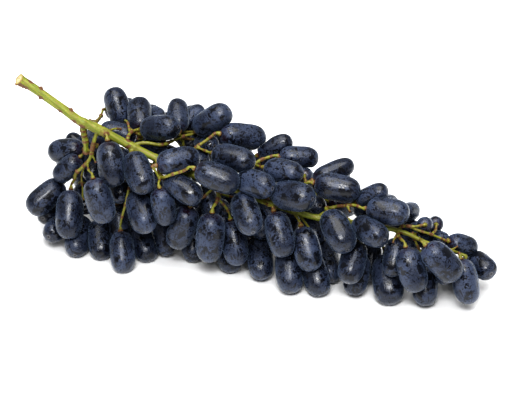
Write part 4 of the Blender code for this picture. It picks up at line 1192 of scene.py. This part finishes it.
def build_stalk(stems, bark):
    rng = np.random.default_rng(STALK_SEED)
    fine = close_up_stems(stems, rng)
    obj = stalk_mesh(stems, fine, rng)
    dress(obj, bark)
    places, facts = stem_facts(stems, fine)
    tree = KDTree(len(places))
    for k, place in enumerate(places):
        tree.insert(place, k)
    tree.balance()
    spots = np.empty(len(obj.data.vertices) * 3, np.float32)
    obj.data.vertices.foreach_get("co", spots)
    spots = spots.reshape(-1, 3)
    nearest = np.array([tree.find(spot)[1] for spot in spots])
    way, brown, half, number = facts[nearest].T
    main = stems[0]
    from_cut = spots - main.points[0]
    radius = np.linalg.norm(from_cut, axis=1)
    add_attributes(
        obj, way=way * TO_CM, brown=brown, thick=np.clip(half / THICKEST, 0, 1),
        stem=number / STEMS_TO_UNIT, off=(spots - places[nearest]) * TO_CM,
        cut=(from_cut @ cut_facing(main) > -CUT_DEPTH) & (radius < CUT_REACH),
        radial=radius / main.half[0])
    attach(obj, "root")
    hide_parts("stalk")


class Nodes:
    """Builds a material's nodes: each call adds one and returns its output."""

    def __init__(self, name):
        self.material = bpy.data.materials.new(name)
        self.material.use_nodes = True
        self.tree = self.material.node_tree
        self.shader = self.tree.nodes["Principled BSDF"]

    def put(self, node, inputs):
        """Links or sets a node's inputs, given by name or number."""
        for name, value in inputs.items():
            if isinstance(value, bpy.types.NodeSocket):
                self.tree.links.new(value, node.inputs[name])
            else:
                node.inputs[name].default_value = value

    def shade(self, inputs):
        self.put(self.shader, inputs)

    def add(self, kind, inputs, output=0, **settings):
        node = self.tree.nodes.new("ShaderNode" + kind)
        for name, value in settings.items():
            setattr(node, name, value)
        self.put(node, inputs)
        return node.outputs[output]

    def attribute(self, name, output="Fac"):
        return self.add("Attribute", {}, output, attribute_name=name)

    def math(self, operation, a, b=0.5, clamp=False):
        return self.add("Math", {0: a, 1: b}, operation=operation, use_clamp=clamp)

    def plus(self, a, b):
        return self.math("ADD", a, b)

    def times(self, a, b):
        return self.math("MULTIPLY", a, b)

    def most(self, first, *others):
        for other in others:
            first = self.math("MAXIMUM", first, other)
        return first

    def scaled(self, vector, by):
        return self.add("VectorMath", {0: vector, 1: by}, operation="MULTIPLY")

    def noise(self, vector, scale, w, detail=2.0, roughness=0.5, distortion=0.0):
        inputs = {"Vector": vector, "W": w, "Scale": scale, "Detail": detail,
                  "Roughness": roughness, "Distortion": distortion}
        return self.add("TexNoise", inputs, "Fac", noise_dimensions="4D")

    def remap(self, value, low, high, to_low=0.0, to_high=1.0):
        inputs = {"Value": value, "From Min": low, "From Max": high, "To Min": to_low, "To Max": to_high}
        return self.add("MapRange", inputs, "Result", interpolation_type="SMOOTHSTEP")

    def mix(self, share, a, b):
        a, b = ((*value, 1) if isinstance(value, tuple) else value for value in (a, b))
        return self.add("Mix", {"Factor": share, 6: a, 7: b}, 2, data_type="RGBA")

    def bump(self, height, distance, **normal):
        return self.add("Bump", {"Height": height, "Distance": distance, **normal}, "Normal")


# Colours of a grape
SKIN = (0.0030, 0.0030, 0.0050)
SKIN_AT_STEM = (0.030, 0.008, 0.018)
POWDER = ((0.035, 0.050, 0.100), (0.052, 0.067, 0.108))
SCAR_RING = (0.16, 0.15, 0.15)
SCAR_DOT = (0.012, 0.008, 0.006)
SHEEN_TINT = (0.55, 0.72, 1.0, 1)

# Colours of the stalk
BARK = ((0.125, 0.158, 0.012), (0.228, 0.250, 0.032))
THIN_BARK = (0.165, 0.145, 0.018)
STREAK = (0.240, 0.145, 0.055)
RUST = (0.125, 0.056, 0.024)
CUT_CORE = (0.62, 0.53, 0.33)
CUT_RIM = (0.36, 0.34, 0.12)
CUT_STAIN = (0.33, 0.23, 0.11)
CUT_EDGE = (0.20, 0.10, 0.04)

# Shifts of the noises' fourth coordinate: between grapes, and between two noises of one grape
SEED_STEP = 43.0
OTHER_NOISE = 9.0


def grape_skin():
    """Near black skin under a blue-grey bloom, rubbed off in spots, smears and where grapes touch."""
    n = Nodes("grape_skin")
    own = n.attribute("own", "Vector")
    seed = n.attribute("seed")
    w = n.times(seed, SEED_STEP)
    along = n.attribute("along")
    cloud = n.noise(own, 0.9, w)
    patch = n.noise(own, 2.0, w, 4.0, 0.62, 0.5)
    smear = n.noise(n.scaled(own, (1.0, 1.0, 0.35)), 3.6, w, 3.0, 0.6, 0.4)
    where = n.noise(own, 2.3, n.plus(w, OTHER_NOISE), 1.0)
    freckle = n.noise(own, 7.5, w, 2.5, 0.6)
    dot = n.noise(own, 15.0, w, 1.5, 0.6)
    grain = n.noise(own, 32.0, w, 2.0, 0.7)
    bare = n.most(
        n.remap(patch, 0.54, 0.58, 0.0, 0.95),
        n.remap(smear, 0.58, 0.64, 0.0, 0.8),
        n.times(n.remap(freckle, 0.54, 0.58), n.remap(where, 0.40, 0.60, 0.45, 1.0)),
        n.remap(dot, 0.57, 0.62, 0.0, 0.85),
        n.remap(n.attribute("rubbed"), 0.30, 0.80, 0.0, 0.9))
    worn = n.remap(n.plus(cloud, n.times(along, -0.03)), 0.38, 0.58, 0.45, 1.0)
    bloom = n.times(n.math("SUBTRACT", 1.0, bare), worn)
    bloom = n.math("MULTIPLY", bloom, n.remap(grain, 0.2, 0.8, 0.65, 1.15), clamp=True)
    bloom = n.times(bloom, n.remap(n.math("FRACT", n.times(seed, 7.3)), 0.0, 1.0, 0.72, 1.0))
    skin = n.mix(n.remap(along, -0.98, -0.72, 0.5, 0.0), SKIN, SKIN_AT_STEM)
    colour = n.mix(bloom, skin, n.mix(cloud, *POWDER))
    x, y = (n.add("SeparateXYZ", {0: own}, axis) for axis in "XY")
    across = n.math("SQRT", n.plus(n.math("POWER", x, 2.0), n.math("POWER", y, 2.0)))
    across = n.plus(across, n.times(n.math("SUBTRACT", freckle, 0.5), 0.06))
    blossom_end = n.remap(along, 0.80, 0.86)
    ring = n.times(n.remap(across, 0.075, 0.095, 0.0, 0.6), n.remap(across, 0.115, 0.150, 1.0, 0.0))
    colour = n.mix(n.times(ring, blossom_end), colour, SCAR_RING)
    colour = n.mix(n.times(n.remap(across, 0.050, 0.075, 0.9, 0.0), blossom_end), colour, SCAR_DOT)
    ridges = n.bump(n.noise(n.scaled(own, (1.0, 1.0, 0.12)), 5.0, w), 0.35 * MM)
    n.shade({
        "Base Color": colour,
        "Roughness": n.remap(bloom, 0.0, 0.8, 0.16, 0.40),
        "Normal": n.bump(n.plus(grain, n.times(bloom, 1.5)), 0.05 * MM, Normal=ridges),
        "IOR": 1.42,
        "Coat Weight": 0.15,
        "Coat Roughness": 0.20,
        "Sheen Weight": 0.14,
        "Sheen Roughness": 0.45,
        "Sheen Tint": SHEEN_TINT})
    return n.material


def stalk_bark():
    """Lime green bark with reddish-brown streaks, brown forks and caps, and a pale cut end."""
    n = Nodes("stalk_green")
    off = n.attribute("off", "Vector")
    way, stem, radial = n.attribute("way"), n.attribute("stem"), n.attribute("radial")
    onward = n.add("CombineXYZ", {"Z": n.times(way, 0.9)})
    lay = n.add("VectorMath", {0: n.scaled(off, (6.0, 6.0, 6.0)), 1: onward}, operation="ADD")
    wide = n.noise(lay, 1.3, stem)
    fibre = n.noise(n.scaled(lay, (1.0, 1.0, 1.4)), 2.6, stem, 3.0, 0.6)
    spots = n.noise(off, 14.0, way, 2.0, 0.6)
    colour = n.mix(n.remap(wide, 0.35, 0.65), *BARK)
    colour = n.mix(n.remap(n.attribute("thick"), 0.25, 0.6, 0.45, 0.0), colour, THIN_BARK)
    colour = n.mix(n.remap(fibre, 0.53, 0.60, 0.0, 0.75), colour, STREAK)
    rust = n.plus(n.attribute("brown"), n.math("SUBTRACT", n.times(spots, 1.5), 0.75))
    colour = n.mix(n.remap(rust, 0.30, 0.85), colour, RUST)
    core = n.mix(n.remap(radial, 0.55, 0.78), CUT_CORE, CUT_RIM)
    core = n.mix(n.remap(n.noise(off, 16.0, 0.0, 3.0, 0.65), 0.50, 0.60), core, CUT_STAIN)
    core = n.mix(n.remap(radial, 0.86, 0.98), core, CUT_EDGE)
    n.shade({
        "Base Color": n.mix(n.attribute("cut"), colour, core),
        "Roughness": n.remap(fibre, 0.3, 0.7, 0.42, 0.60),
        "Normal": n.bump(n.plus(n.times(fibre, 0.6), n.times(spots, 0.5)), 0.16 * MM),
        "Subsurface Weight": 0.12,
        "Subsurface Radius": (1.0, 0.9, 0.3),
        "Subsurface Scale": 1.0 * MM})
    return n.material


# Studio
FLOOR_HALF = 3.0
FLOOR_WHITE = (0.90, 0.90, 0.90, 1)
WORLD_WHITE = (1.0, 1.0, 1.0, 1)
WORLD_STRENGTH = 0.33
LENS = 117.2
SENSOR = 36
LAMPS_AIM = np.array([0.0, 0.0, 0.05])

# Name, place, width and depth, and power of each lamp
LAMPS = [
    ("top", (0.0, -0.10, 1.35), (1.4, 1.0), 16.5),
    ("front", (0.25, -0.90, 1.05), (0.7, 0.45), 12.5),
    ("spot", (0.25, -0.85, 1.10), (0.15, 0.15), 3.2)]


def build_floor():
    corners = [(-FLOOR_HALF, -FLOOR_HALF, 0), (FLOOR_HALF, -FLOOR_HALF, 0),
               (FLOOR_HALF, FLOOR_HALF, 0), (-FLOOR_HALF, FLOOR_HALF, 0)]
    floor = new_mesh("floor", corners, [(0, 1, 2, 3)])
    n = Nodes("floor_white")
    n.shade({"Base Color": FLOOR_WHITE, "Roughness": 0.7})
    dress(floor, n.material)


def stand(obj, place, right, up, back):
    """Puts an object at a place, turned so that it looks away from back."""
    turn = Matrix(np.column_stack([right, up, back]).tolist())
    obj.matrix_world = Matrix.Translation(place) @ turn.to_4x4()


def build_lamps():
    for name, place, size, power in LAMPS:
        data = bpy.data.lights.new(name, "AREA")
        data.shape = "RECTANGLE"
        data.size, data.size_y = size
        data.energy = power
        back = unit(np.array(place) - LAMPS_AIM)
        right = unit(np.cross((0, 0, 1), back))
        stand(placed(name, data), place, right, np.cross(back, right), back)


def build_world():
    world = bpy.data.worlds.new("studio")
    world.use_nodes = True
    sky = world.node_tree.nodes["Background"]
    sky.inputs["Color"].default_value = WORLD_WHITE
    sky.inputs["Strength"].default_value = WORLD_STRENGTH
    bpy.context.scene.world = world
    bpy.context.scene.view_settings.view_transform = "Standard"
    bpy.context.scene.view_settings.look = "High Contrast"


def build_camera():
    data = bpy.data.cameras.new("camera")
    data.lens = LENS
    data.sensor_width = SENSOR
    camera = placed("camera", data)
    stand(camera, EYE + CENTRE_SHIFT, RIGHT, UP, BACK)
    bpy.context.scene.camera = camera


def build():
    ends, widths, spray, stems = laid_out()
    build_grapes(ends, widths, spray, grape_skin())
    build_stalk(stems, stalk_bark())
    build_floor()
    build_lamps()
    build_world()
    build_camera()
    bpy.context.view_layer.update()


for obj in list(bpy.data.objects):
    bpy.data.objects.remove(obj, do_unlink=True)
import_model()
build()
